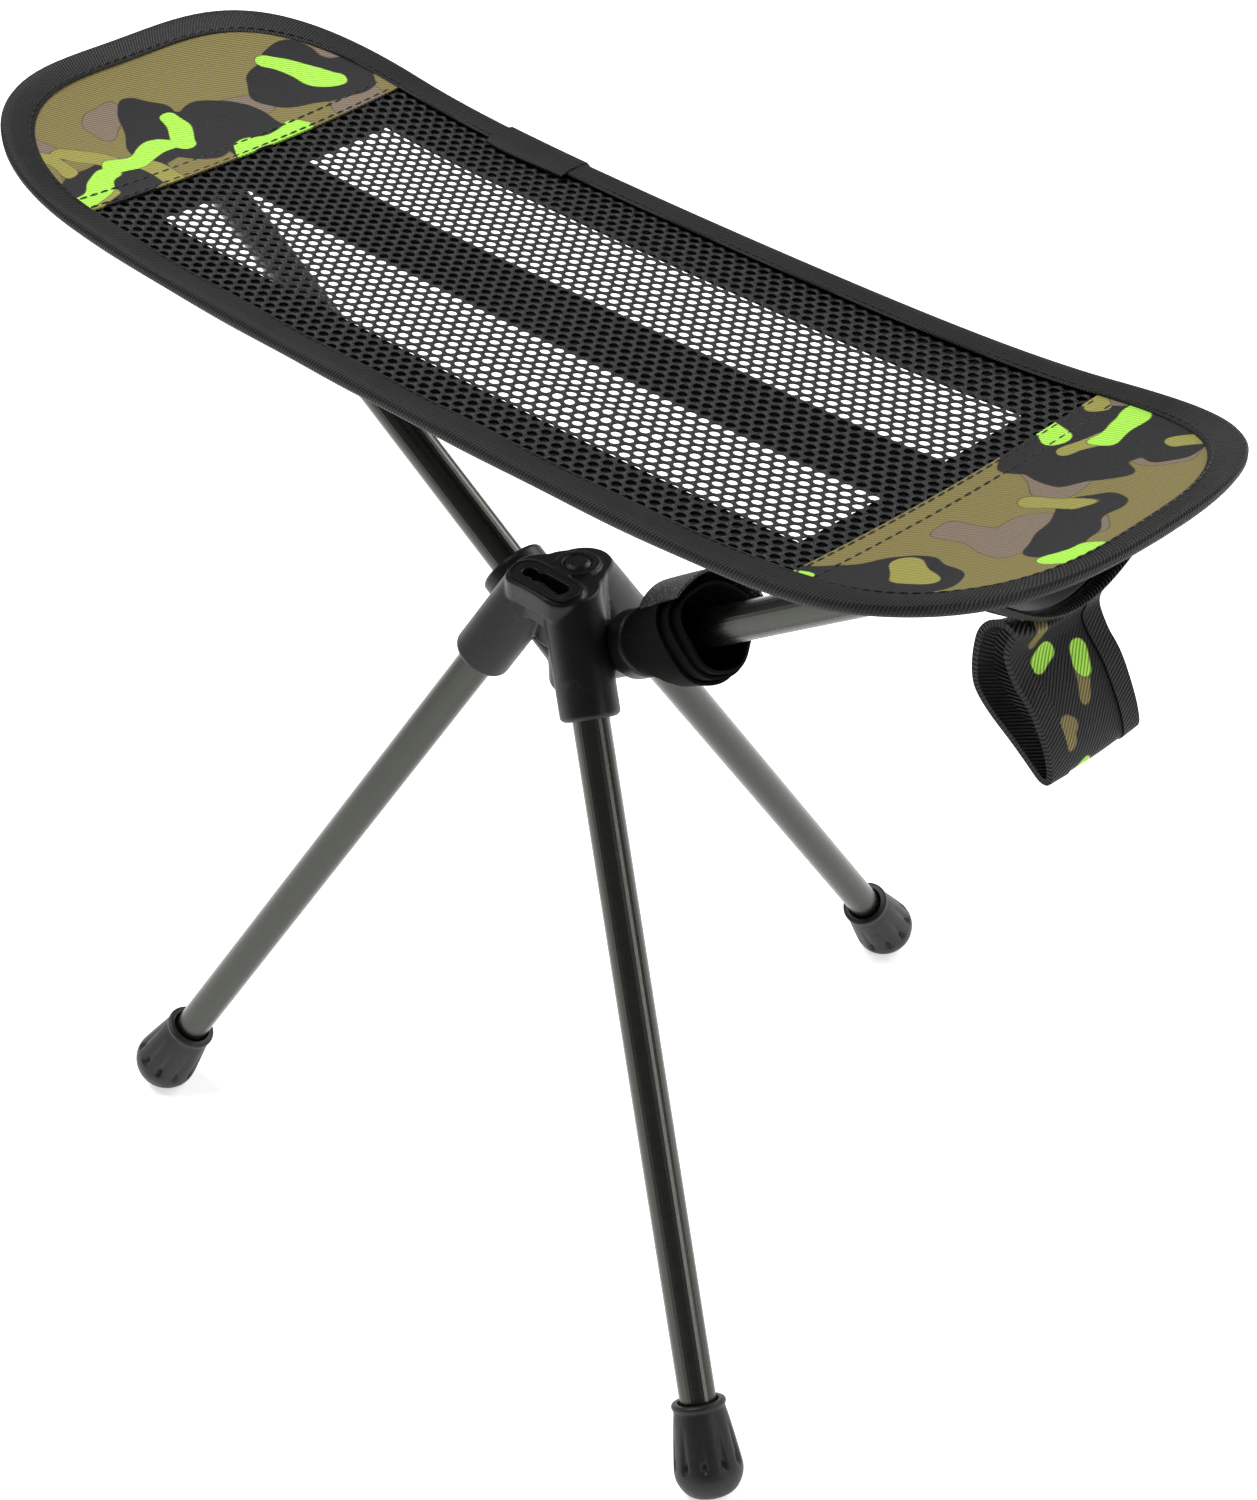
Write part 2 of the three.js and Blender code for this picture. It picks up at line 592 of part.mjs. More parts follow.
// A closed band of webbing across Y, built up to `thick` about the centre line.
function handleBand(low, high, thick, steps) {
  const count = HANDLE_LINE.length;
  const ys = spread(low, high, steps);
  const rings = HANDLE_LINE.map(([x, z], i) => {
    const [ax, az] = HANDLE_LINE[(i + count - 1) % count];
    const [bx, bz] = HANDLE_LINE[(i + 1) % count];
    const length = Math.hypot(bx - ax, bz - az);
    const nx = (-(bz - az) / length) * (thick / 2);
    const nz = ((bx - ax) / length) * (thick / 2);
    const corner = (s, y) =>
      [HANDLE_X + x + s * nx, ARM_OFFSET_Y + y, HANDLE_TOP_Z + z + handleCup(y, z) + s * nz];
    return [...ys.map((y) => corner(1, y)), ...[...ys].reverse().map((y) => corner(-1, y))];
  });
  return loft(rings, { loop: true });
}

// The sewn tab that carries the loop, under the pocket and curved with it.
function handleTab() {
  const xs = spread(192, 203.8, 2);
  const under = (x, y) => pocketDrop(x, y) - POCKET.cloth - GAP;
  return seatSheet(band(xs, -HANDLE_HALF_W, HANDLE_HALF_W), 12, (x, y) => under(x, y) - TAB_T, under);
}

// ---------------------------------------------------------------- hook-and-loop strap on the right arm
const STRAP_PROFILE = [[10.7, 42], [10.7, 48], [12.3, 55], [14.3, 63], [15.4, 79]];
const STRAP_T = 1.5;

const strapBand = () => turnedRing(armAxis(1), [
  ...STRAP_PROFILE,
  ...STRAP_PROFILE.map(([r, along]) => [r + STRAP_T, along]).reverse(),
], 36);

// The overlapping end of the strap, lying over the top of the band.
function strapHookEnd() {
  const place = armAxis(1);
  const inner = STRAP_PROFILE.slice(2).map(([r, along]) => [r + STRAP_T + 0.6, along]);
  const angles = spread(-100, 35, 14).map((deg) => (deg + 90) * RAD);
  const rings = angles.map((a) => [
    ...inner.map(([r, along]) => place(r, a, along)),
    ...inner.map(([r, along]) => place(r + 1.2, a, along)).reverse(),
  ]);
  return loft(rings, { cap: 'pair' });
}

// ---------------------------------------------------------------- the whole stool
const group = new THREE.Group();
group.name = 'three_leg_stool';

function emit(name, materialName, shape) {
  const flat = shape.faces.flatMap((face) => face.flatMap((index) => shape.points[index]));
  const geometry = new THREE.BufferGeometry();
  geometry.setAttribute('position', new THREE.Float32BufferAttribute(flat, 3));
  geometry.translate(0, HUB_Y, 0);
  geometry.computeVertexNormals();
  const mesh = new THREE.Mesh(geometry, MATERIALS[materialName]);
  mesh.name = name;
  group.add(mesh);
}

emit('leg_hub', 'plastic', legHub());
emit('arm_yoke', 'plastic', armYoke());
emit('hub_rivet', 'plastic', hubRivet());
emit('rivet_washer', 'steel', rivetWasher());
emit('hub_cord', 'cord', hubCord());

for (const [name, azimuth] of Object.entries(LEG_AZIMUTHS)) {
  emit(`leg_tube_${name}`, 'tube', legTube(azimuth));
  emit(`foot_${name}`, 'rubber', rubberFoot(azimuth));
  emit(`leg_cord_${name}`, 'cord', legCord(azimuth));
  emit(`cord_plug_${name}`, 'plastic', cordPlug(azimuth));
}

emit('seat_net', 'net', seatNet());
const stripOut = SEAT_HALF_W - BACKING_INSET;
emit('net_strip_front', 'backing', longStrip(-stripOut, -WINDOW_OUT_Y));
emit('net_strip_middle', 'backing', longStrip(-WINDOW_IN_Y, WINDOW_IN_Y));
emit('net_strip_back', 'backing', longStrip(WINDOW_OUT_Y, stripOut));
emit('edge_binding', 'binding', edgeBinding());
emit('binding_join', 'binding', bindingJoin());

for (const [name, side] of Object.entries(SIDES)) {
  emit(`arm_tube_${name}`, 'tube', armTube(side));
  emit(`arm_tip_${name}`, 'plastic', armTip(side));
  emit(`net_strip_${name}`, 'backing', crossStrip(side));
  emit(`end_panel_${name}`, 'camo', endPanel(side));
  emit(`end_backing_${name}`, 'backing', endBacking(side));
  emit(`pocket_${name}`, 'backing', pocket(side));
  emit(`pocket_liner_${name}`, 'board', pocketLiner(side));
  emit(`pocket_binding_${name}`, 'binding', pocketBinding(side));
}

emit('handle_tab', 'binding', handleTab());
emit('handle_loop', 'camo', handleBand(-HANDLE_MID_HALF_W, HANDLE_MID_HALF_W, 1.4, 4));
emit('handle_edge_front', 'binding', handleBand(-HANDLE_HALF_W, -HANDLE_MID_HALF_W - GAP, 2.2, 2));
emit('handle_edge_back', 'binding', handleBand(HANDLE_MID_HALF_W + GAP, HANDLE_HALF_W, 2.2, 2));
emit('strap_band', 'hookloop', strapBand());
emit('strap_hook_end', 'hookloop', strapHookEnd());

export default group;
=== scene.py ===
"""Looks of the three leg stool: cloth, tape, net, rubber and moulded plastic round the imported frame.

Lengths are in millimetres in the row frame until a mesh is made. x runs along the seat,
y across it (the seat's middle line is at SEAT_Y), z is up.
"""
import math
import random

import bmesh
import bpy
import numpy as np
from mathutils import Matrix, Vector


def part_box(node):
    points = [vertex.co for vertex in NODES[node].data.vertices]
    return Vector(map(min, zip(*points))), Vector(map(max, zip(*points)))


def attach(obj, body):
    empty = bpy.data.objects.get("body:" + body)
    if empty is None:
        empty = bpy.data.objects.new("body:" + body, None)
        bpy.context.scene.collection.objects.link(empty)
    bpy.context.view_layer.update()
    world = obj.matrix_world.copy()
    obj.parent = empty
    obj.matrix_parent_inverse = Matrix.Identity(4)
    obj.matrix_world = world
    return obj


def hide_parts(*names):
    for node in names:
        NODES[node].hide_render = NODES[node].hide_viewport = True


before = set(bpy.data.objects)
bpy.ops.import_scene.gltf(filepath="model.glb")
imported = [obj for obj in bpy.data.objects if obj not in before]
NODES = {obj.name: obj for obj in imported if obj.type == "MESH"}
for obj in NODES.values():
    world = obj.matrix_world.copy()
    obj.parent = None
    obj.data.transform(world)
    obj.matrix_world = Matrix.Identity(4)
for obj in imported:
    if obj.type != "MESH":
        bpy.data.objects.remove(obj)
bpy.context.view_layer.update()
MM = 0.001
TAU = 2 * math.pi


# ---------------------------------------------------------------- sizes read from the frame
def box_mm(node):
    """Lowest and highest corner of a CAD node."""
    low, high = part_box(node)
    return np.array(low) / MM, np.array(high) / MM


def axis_of(node):
    """A point on a straight round CAD node's axis and the axis direction, pointing up."""
    points = np.array([v.co for v in NODES[node].data.vertices], float) / MM
    low, high = box_mm(node)
    middle = (low + high) / 2
    _, _, vectors = np.linalg.svd(points - points.mean(0), full_matrices=False)
    direction = vectors[0] * math.copysign(1, vectors[0][2])
    return middle, direction


EDGE_LOW, EDGE_HIGH = box_mm("edge_binding")
SEAT_Y = float(EDGE_LOW[1] + EDGE_HIGH[1]) / 2
HALF_L = float(EDGE_HIGH[0] - EDGE_LOW[0]) / 2
HALF_W = float(EDGE_HIGH[1] - EDGE_LOW[1]) / 2
MID_Z = float(box_mm("seat_net")[0][2]) + 0.5
HUB_TOP = float(box_mm("leg_hub")[1][2])
LEGS = ("front", "left", "rear")
SIDES = {"left": -1, "right": 1}

# The sling's shape, as the frame's own sheets have it.
STRAIGHT_X = 159.0          # the long edges are straight to here
END_EXP_X = 0.885
END_EXP_Y = 0.606
RISE = 21.9                 # how far the ends stand above the middle
RISE_POWER = 4.9
CORNER_LIFT = 6.4
EDGE_INSET = 1.6            # the cloths stop this far inside the binding's fold
BINDING_W = 10.5
SEAM_X = 160.0              # where the printed ends start


def seat_z(x, y):
    """Height of the sling's middle surface."""
    reach = np.abs(x) / HALF_L
    across = (y - SEAT_Y) / HALF_W
    return MID_Z + RISE * reach**RISE_POWER + CORNER_LIFT * across**2 * reach**2


def half_width(x, inset):
    """Half width of the seat at x, drawn in from its outline."""
    span = HALF_L - inset - STRAIGHT_X
    t = np.clip((np.abs(x) - STRAIGHT_X) / span, 0, 1) ** (1 / END_EXP_X)
    return (HALF_W - inset) * np.sqrt(1 - t * t) ** END_EXP_Y


def ripple(x, y, size, seed):
    """Slow waves in cloth, from -1 to 1, the same every run."""
    a = np.sin(x / size + 1.7 * seed) * np.cos(y / (size * 0.8) - seed)
    b = np.sin((x + y) / (size * 0.55) + 2.3 * seed)
    return 0.65 * a + 0.35 * b


# ---------------------------------------------------------------- mesh building
class Shape:
    """Patches of points gathered into one closed mesh, with a UV for each face corner."""

    def __init__(self):
        self.points, self.faces, self.uvs, self.count = [], [], [], 0

    def grid(self, points, us=None, vs=None, loop_rows=False, loop_cols=False):
        """Adds a grid of points, its rows and columns closed into rings where asked."""
        points = np.asarray(points, float)
        rows, cols = points.shape[:2]
        r = np.arange(rows if loop_rows else rows - 1)[:, None]
        c = np.arange(cols if loop_cols else cols - 1)[None, :]
        r2, c2 = (r + 1) % rows, (c + 1) % cols
        quads = np.stack([r * cols + c, r * cols + c2, r2 * cols + c2, r2 * cols + c], -1)
        us = np.arange(rows + 1.0) if us is None else np.append(us, 2 * us[-1] - us[-2])
        vs = np.arange(cols + 1.0) if vs is None else np.append(vs, 2 * vs[-1] - vs[-2])
        u = np.stack([us[r + 0 * c], us[r + 0 * c], us[r + 1 + 0 * c], us[r + 1 + 0 * c]], -1)
        v = np.stack([vs[c + 0 * r], vs[c + 1 + 0 * r], vs[c + 1 + 0 * r], vs[c + 0 * r]], -1)
        self.add(points.reshape(-1, 3), quads.reshape(-1, 4), np.stack([u, v], -1).reshape(-1, 2))
        return self

    def add(self, points, faces, uvs):
        self.points.append(points)
        self.faces += (np.asarray(faces) + self.count).tolist()
        self.uvs.append(uvs)
        self.count += len(points)

    def fan(self, ring):
        """Closes a ring of points with triangles to its middle."""
        ring = np.asarray(ring, float)
        n = len(ring)
        faces = [(k, (k + 1) % n, n) for k in range(n)]
        self.add(np.vstack([ring, ring.mean(0)]), faces, np.zeros((3 * n, 2)))
        return self


def link(mesh, name, body, replaces):
    """Puts a mesh in the scene as a piece that rides on a CAD body."""
    obj = bpy.data.objects.new(name, mesh)
    bpy.context.scene.collection.objects.link(obj)
    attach(obj, body)
    if replaces:
        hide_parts(*replaces)
    return obj


def piece(name, shape, material, body="frame", replaces=(), sharp=40, weld=True):
    """A named piece made of a Shape."""
    mesh = bpy.data.meshes.new(name)
    mesh.from_pydata((np.vstack(shape.points) * MM).tolist(), [], shape.faces)
    layer = mesh.uv_layers.new(name="UVMap")
    layer.data.foreach_set("uv", np.vstack(shape.uvs).astype(np.float32).ravel())
    if weld:
        solid = bmesh.new()
        solid.from_mesh(mesh)
        bmesh.ops.remove_doubles(solid, verts=solid.verts, dist=2e-6)
        bmesh.ops.recalc_face_normals(solid, faces=solid.faces)
        solid.to_mesh(mesh)
        solid.free()
    mesh.materials.append(material)
    smooth(mesh, sharp)
    return link(mesh, name, body, replaces)


def smooth(mesh, sharp):
    mesh.polygons.foreach_set("use_smooth", [True] * len(mesh.polygons))
    mesh.set_sharp_from_angle(angle=math.radians(sharp))


def sheet_shape(top, bottom, us=None, vs=None):
    """A closed thin sheet between two equal grids of points."""
    cols = top.shape[1]
    vs = np.arange(float(cols)) if vs is None else np.asarray(vs)
    rings = np.concatenate([top, bottom[:, ::-1]], 1)
    round_vs = np.concatenate([vs, vs[::-1] + 1e-3])
    shape = Shape().grid(rings, us, round_vs, loop_cols=True)
    for end in (0, -1):
        shape.grid(np.stack([top[end], bottom[end]]))
    return shape


def square_to(direction):
    """Two unit vectors square to a direction; the second points as far up as it can."""
    w = np.asarray(direction, float) / np.linalg.norm(direction)
    helper = np.array([1.0, 0, 0]) if abs(w[2]) > 0.999 else np.array([0, 0, 1.0])
    u = np.cross(helper, w)
    u /= np.linalg.norm(u)
    return u, np.cross(w, u)


def cord_shape(path, radius, segments=12):
    """A round cord along a path, closed at both ends."""
    path = np.asarray(path, float)
    rings, u = [], None
    for p, t in zip(path, np.gradient(path, axis=0)):
        w = t / np.linalg.norm(t)
        a = square_to(w)[0] if u is None else u - w * np.dot(u, w)
        u = a / np.linalg.norm(a)
        v = np.cross(w, u)
        angles = np.linspace(0, TAU, segments, endpoint=False)[:, None]
        rings.append(p + radius * (u * np.cos(angles) + v * np.sin(angles)))
    return Shape().grid(rings, loop_cols=True).fan(rings[0]).fan(rings[-1])


def smooth_line(points, per_span, closed=False):
    """Catmull-Rom line through points."""
    p = np.asarray(points, float)
    count = len(p)
    t = (np.arange(per_span) / per_span)[:, None]
    out = []
    for i in range(count if closed else count - 1):
        near = [(i + k) % count if closed else min(max(i + k, 0), count - 1) for k in (-1, 0, 1, 2)]
        a, b, c, d = (p[k] for k in near)
        out.append(0.5 * (2 * b + (c - a) * t + (2 * a - 5 * b + 4 * c - d) * t**2
                          + (3 * b - a - 3 * c + d) * t**3))
    return np.vstack(out if closed else out + [p[-1:]])


def stitch_shape(lines, length=2.7, gap=1.0, radius=0.28):
    """Dashes of thread laid along lines of (point, up) pairs; each dash's ends dip into the cloth."""
    shape = Shape()
    # share of the dash, thickness there, and height in thread radii
    profile = ((0.0, 0.35, -0.25), (0.12, 0.8, 0.05), (0.5, 1.0, 0.2),
               (0.88, 0.8, 0.05), (1.0, 0.35, -0.25))
    angles = np.linspace(0, TAU, 6, endpoint=False)[:, None]
    for line, ups in lines:
        steps = np.linalg.norm(np.diff(line, axis=0), axis=1)
        run = np.concatenate([[0], np.cumsum(steps)])
        for start in np.arange(gap / 2, run[-1] - length, length + gap):
            at = [[np.interp(start + f * length, run, line[:, k]) for k in range(3)] for f, _, _ in profile]
            up = np.array([np.interp(start, run, ups[:, k]) for k in range(3)])
            along = np.array(at[-1]) - np.array(at[0])
            side = np.cross(along / np.linalg.norm(along), up)
            circle = side * np.cos(angles) + up * np.sin(angles)
            rings = [np.array(p) + up * radius * lift + radius * thick * circle
                     for p, (_, thick, lift) in zip(at, profile)]
            shape.grid(rings, loop_cols=True).fan(rings[0]).fan(rings[-1])
    return shape


# ---------------------------------------------------------------- materials
class Shader:
    """A Principled material with short helpers for the nodes in front of it."""

    def __init__(self, name, color, roughness, metallic=0.0, specular=0.5):
        self.material = bpy.data.materials.new(name)
        self.material.use_nodes = True
        self.tree = self.material.node_tree
        self.bsdf = self.tree.nodes["Principled BSDF"]
        self.bsdf.inputs["Base Color"].default_value = (*color, 1)
        self.bsdf.inputs["Roughness"].default_value = roughness
        self.bsdf.inputs["Metallic"].default_value = metallic
        self.bsdf.inputs["Specular IOR Level"].default_value = specular

    def node(self, kind, inputs=(), **settings):
        made = self.tree.nodes.new(kind)
        for key, value in settings.items():
            setattr(made, key, value)
        for index, value in enumerate(inputs):
            self.feed(made.inputs[index], value)
        return made

    def feed(self, socket, value):
        """Links a socket, or sets a plain number or colour on it."""
        if isinstance(value, bpy.types.NodeSocket):
            self.tree.links.new(value, socket)
        elif value is not None:
            wants_alpha = socket.type == "RGBA" and len(value) == 3
            socket.default_value = (*value, 1) if wants_alpha else value

    def math(self, operation, *inputs, clamp=False):
        return self.node("ShaderNodeMath", inputs, operation=operation, use_clamp=clamp).outputs[0]

    def vector(self, operation, *inputs):
        made = self.node("ShaderNodeVectorMath", inputs, operation=operation)
        return made.outputs["Value" if operation in ("DOT_PRODUCT", "LENGTH", "DISTANCE") else "Vector"]

    def scaled(self, source, factor):
        made = self.node("ShaderNodeVectorMath", [source], operation="SCALE")
        self.feed(made.inputs["Scale"], factor)
        return made.outputs["Vector"]

    def place_mm(self):
        """Where the point is in the row frame at rest."""
        return self.scaled(self.node("ShaderNodeTexCoord").outputs["Object"], 1 / MM)

    def uv(self):
        return self.node("ShaderNodeTexCoord").outputs["UV"]

    def noise(self, vector, scale, detail=2.0, color=False):
        made = self.node("ShaderNodeTexNoise", [vector])
        made.inputs["Scale"].default_value = scale
        made.inputs["Detail"].default_value = detail
        return made.outputs["Color" if color else "Fac"]

    def waves(self, vector, direction, period):
        """Ridges from 0 to 1 with that period along a direction."""
        along = self.vector("DOT_PRODUCT", vector, direction)
        swing = self.math("SINE", self.math("MULTIPLY", along, TAU / period))
        return self.math("MULTIPLY_ADD", swing, 0.5, 0.5)

    def range(self, value, low, high):
        return self.math("MULTIPLY_ADD", value, high - low, low)

    def mix(self, factor, a, b, blend="MIX"):
        made = self.node("ShaderNodeMix", data_type="RGBA", blend_type=blend)
        for socket, value in zip((made.inputs[0], made.inputs[6], made.inputs[7]), (factor, a, b)):
            self.feed(socket, value)
        return made.outputs[2]

    def paint(self, socket):
        self.feed(self.bsdf.inputs["Base Color"], socket)

    def rough(self, socket):
        self.feed(self.bsdf.inputs["Roughness"], socket)

    def bump(self, height, depth, strength=1.0):
        """Bumps up to depth mm high."""
        made = self.node("ShaderNodeBump")
        made.inputs["Strength"].default_value = strength
        made.inputs["Distance"].default_value = depth * MM
        self.feed(made.inputs["Height"], height)
        self.feed(self.bsdf.inputs["Normal"], made.outputs[0])


def plastic_material():
    """Satin black nylon: fine moulded grain, with paler scuffs."""
    s = Shader("moulded_plastic", (0.0065, 0.0065, 0.0062), 0.4, specular=0.31)
    at = s.place_mm()
    scuffs = s.math("MULTIPLY_ADD", s.noise(at, 0.16, 5), 9.0, -5.6, clamp=True)
    s.paint(s.mix(s.math("MULTIPLY", scuffs, 0.4), (0.0055, 0.0055, 0.0053), (0.038, 0.038, 0.036)))
    s.rough(s.range(s.noise(at, 0.11, 3), 0.3, 0.52))
    s.bump(s.noise(at, 1.5, 3), 0.05)
    return s.material


def rubber_material():
    s = Shader("rubber", (0.0115, 0.0115, 0.0115), 0.45, specular=0.31)
    at = s.place_mm()
    s.paint(s.mix(s.noise(at, 0.15, 3), (0.007, 0.007, 0.007), (0.018, 0.018, 0.018)))
    s.rough(s.range(s.noise(at, 0.4, 2), 0.38, 0.55))
    s.bump(s.noise(at, 1.8, 2), 0.05)
    return s.material


def tube_material():
    """Dark grey-green anodised aluminium, faintly drawn."""
    s = Shader("anodised_tube", (0.064, 0.067, 0.058), 0.26, metallic=0.95)
    at = s.place_mm()
    s.rough(s.range(s.noise(at, 0.35, 3), 0.2, 0.33))
    s.bump(s.noise(at, 2.2, 2), 0.012)
    return s.material


def steel_material():
    s = Shader("black_steel", (0.05, 0.05, 0.055), 0.35, metallic=0.9)
    s.rough(s.range(s.noise(s.place_mm(), 0.9, 2), 0.28, 0.45))
    return s.material


def cord_material():
    """Elastic cord with a braided sleeve."""
    s = Shader("braided_cord", (0.012, 0.012, 0.012), 0.6, specular=0.3)
    at = s.place_mm()
    weave = s.math("MULTIPLY", s.waves(at, (1, 1, 1), 0.95), s.waves(at, (1, -1, 1), 0.95))
    # painted highlight on the braid's raised crossings and painted shade in its hollows, following the
    # bump's weave
    s.paint(s.mix(weave, (0.006, 0.006, 0.006), (0.05, 0.05, 0.05)))
    s.bump(weave, 0.14)
    return s.material


def net_material():
    s = Shader("net_yarn", (0.012, 0.012, 0.013), 0.42, specular=0.35)
    at = s.place_mm()
    knit = s.math("MULTIPLY", s.waves(at, (1, 0.6, 0), 0.7), s.waves(at, (1, -0.6, 0), 0.7))
    # painted highlight and shade: the knit's ridges are painted lighter and its hollows darker, standing in
    # for light on the black yarn
    s.paint(s.mix(knit, (0.005, 0.005, 0.006), (0.032, 0.032, 0.034)))
    s.bump(knit, 0.2)
    return s.material


def backing_material():
    """Plain close-woven cloth."""
    s = Shader("backing_cloth", (0.006, 0.006, 0.007), 0.85, specular=0.1)
    at = s.place_mm()
    weave = s.math("MULTIPLY", s.waves(at, (1, 0, 0), 0.8), s.waves(at, (0, 1, 0), 0.8))
    # painted shade between the threads and painted highlight on them, following the bump's weave
    s.paint(s.mix(weave, (0.004, 0.004, 0.004), (0.012, 0.012, 0.013)))
    s.bump(weave, 0.08)
    return s.material


def tape_material():
    """Ribbed tape. u runs along the tape in mm and v across it."""
    s = Shader("ribbed_tape", (0.0095, 0.0095, 0.0093), 0.55, specular=0.19)
    ribs = s.waves(s.uv(), (1, 0.5, 0), 1.25)
    worn = s.noise(s.place_mm(), 0.09, 3)
    high = s.mix(worn, (0.016, 0.016, 0.0155), (0.035, 0.035, 0.034))
    # painted shade in the grooves between the ribs and painted highlight on the rib tops; the tops' tone
    # also varies at random as wear
    s.paint(s.mix(ribs, (0.003, 0.003, 0.003), high))
    s.bump(ribs, 0.25)
    return s.material


def thread_material():
    s = Shader("sewing_thread", (0.02, 0.02, 0.021), 0.4, specular=0.3)
    ply = s.waves(s.place_mm(), (1, 1, 0.5), 0.5)
    # painted highlight on the thread's plies and painted shade between them
    s.paint(s.mix(ply, (0.004, 0.004, 0.004), (0.045, 0.045, 0.046)))
    return s.material


def board_material():
    """Smooth grey sheet that lines the pockets."""
    s = Shader("pocket_liner", (0.2, 0.205, 0.21), 0.42, specular=0.4)
    at = s.place_mm()
    s.paint(s.mix(s.noise(at, 0.05, 3), (0.2, 0.205, 0.21), (0.32, 0.325, 0.33)))
    s.bump(s.noise(at, 0.6, 3), 0.05)
    return s.material


def loop_tape_material():
    """Fuzzy black loop tape."""
    s = Shader("loop_tape", (0.004, 0.004, 0.004), 0.85, specular=0.08)
    at = s.place_mm()
    fuzz = s.noise(at, 2.6, 4)
    bright = s.math("MULTIPLY_ADD", s.noise(at, 3.4, 1), 14.0, -10.2, clamp=True)
    s.paint(s.mix(bright, s.mix(fuzz, (0.001, 0.001, 0.001), (0.007, 0.007, 0.007)), (0.11, 0.11, 0.11)))
    s.bump(fuzz, 0.5)
    return s.material


def hook_tape_material():
    """Hook tape: a field of stiff tips, with painted highlights where light catches them."""
    s = Shader("hook_tape", (0.012, 0.012, 0.012), 0.5, specular=0.3)
    at = s.place_mm()
    tips = s.noise(at, 1.9, 2)
    bright = s.math("MULTIPLY_ADD", tips, 16.0, -9.9, clamp=True)
    # painted highlight: the tips picked out by the noise are painted pale grey as glints
    s.paint(s.mix(bright, (0.008, 0.008, 0.008), (0.4, 0.4, 0.38)))
    s.bump(tips, 0.6)
    return s.material


# ---------------------------------------------------------------- printed cloth
KHAKI = (0.235, 0.195, 0.07)
TAUPE = (0.225, 0.175, 0.13)
CHARCOAL = (0.022, 0.0215, 0.024)
OLIVE = (0.33, 0.31, 0.075)
LIME = (0.42, 0.86, 0.09)
OUTLINE = (0.07, 0.055, 0.03)
LOOP_BLACK = (0.01, 0.01, 0.011)

PANEL_SPREAD = ((0, 76), (-75, 75))     # out from the seam, across from the seat's middle line
LOOP_SPREAD = ((0, 108), (-12, 12))     # along the carry loop, across it
PANEL_SEEDS = (("left", 4), ("right", 11))
LOOP_SEED = 7
PANEL_WARP = 9.0                        # mm that noise bends the blobs' outlines by
LOOP_WARP = 3.0
OUTLINE_HALF = 0.22                     # half width of the dark line round a blob


def strewn(draw, spread, count, reach, radius):
    """Capsules strewn at random over a cloth, each (out, across, out, across, radius) in mm."""
    blobs = []
    for _ in range(count):
        out, across = draw.uniform(*spread[0]), draw.uniform(*spread[1])
        angle = draw.uniform(0, TAU)
        length = draw.uniform(*reach)
        end = (out + length * math.cos(angle), across + length * math.sin(angle))
        blobs.append((out, across, *end, draw.uniform(*radius)))
    return blobs


def panel_camouflage(seed):
    """Layers of a plain random camouflage for one seat end."""
    draw = random.Random(seed)
    return ((TAUPE, strewn(draw, PANEL_SPREAD, 8, (10, 26), (5, 10))),
            (CHARCOAL, strewn(draw, PANEL_SPREAD, 7, (12, 30), (8, 14))),
            (OLIVE, strewn(draw, PANEL_SPREAD, 6, (6, 18), (3, 5.5))),
            (LIME, strewn(draw, PANEL_SPREAD, 6, (8, 26), (3.5, 6.5))))


def loop_camouflage(seed):
    """The same for the carry loop, smaller and sparser."""
    draw = random.Random(seed)
    return ((KHAKI, strewn(draw, LOOP_SPREAD, 4, (2, 8), (2, 3.6))),
            (LIME, strewn(draw, LOOP_SPREAD, 5, (4, 10), (2, 4))))


def blob_distance(s, at, blobs):
    """Distance in mm to the nearest of some capsules, softly joined; negative inside."""
    total = None
    for a, b, c, d, radius in blobs:
        start, along = Vector((a, b, 0)), Vector((c - a, d - b, 0))
        offset = s.vector("SUBTRACT", at, start)
        share = s.math("DIVIDE", s.vector("DOT_PRODUCT", offset, along), along.length_squared, clamp=True)
        step = s.node("ShaderNodeVectorMath", [along], operation="SCALE")
        s.feed(step.inputs["Scale"], share)
        gap = s.math("SUBTRACT", s.vector("DISTANCE", offset, step.outputs["Vector"]), float(radius))
        total = gap if total is None else s.math("SMOOTH_MIN", total, gap, 2.5)
    return total


def printed_cloth(name, place, base, layers, warp):
    """Twill printed with layers of blobs, each with a fine dark outline."""
    s = Shader(name, base, 0.5, specular=0.2)
    flat = s.vector("MULTIPLY", place(s), (1, 1, 0))
    bend = s.vector("SUBTRACT", s.noise(flat, 0.07, 0.0, color=True), (0.5, 0.5, 0.5))
    at = s.vector("MULTIPLY", s.vector("ADD", flat, s.scaled(bend, warp)), (1, 1, 0))
    color = base
    for tint, blobs in layers:
        distance = blob_distance(s, at, blobs)
        color = s.mix(s.math("LESS_THAN", distance, 0.0), color, tint)
        line = s.math("LESS_THAN", s.math("ABSOLUTE", distance), OUTLINE_HALF)
        color = s.mix(s.math("MULTIPLY", line, 0.6), color, OUTLINE)
    ribs = s.waves(flat, (0.7, 0.7, 0), 1.15)
    # painted shade in the twill's grooves and painted highlight on its ribs, multiplied over the print
    shade = s.mix(ribs, (0.6, 0.59, 0.58), (1.1, 1.1, 1.1))
    s.paint(s.mix(1.0, color, shade, blend="MULTIPLY"))
    s.bump(ribs, 0.2)
    return s.material


def panel_place(name):
    """Print coordinates on a seat end: out from its seam, across from the middle line."""
    side = SIDES[name]

    def place(s):
        centred = s.vector("SUBTRACT", s.place_mm(), (0, SEAT_Y, 0))
        turned = s.vector("MULTIPLY", centred, (side, -side, 0))
        return s.vector("SUBTRACT", turned, (SEAM_X, 0, 0))
    return place


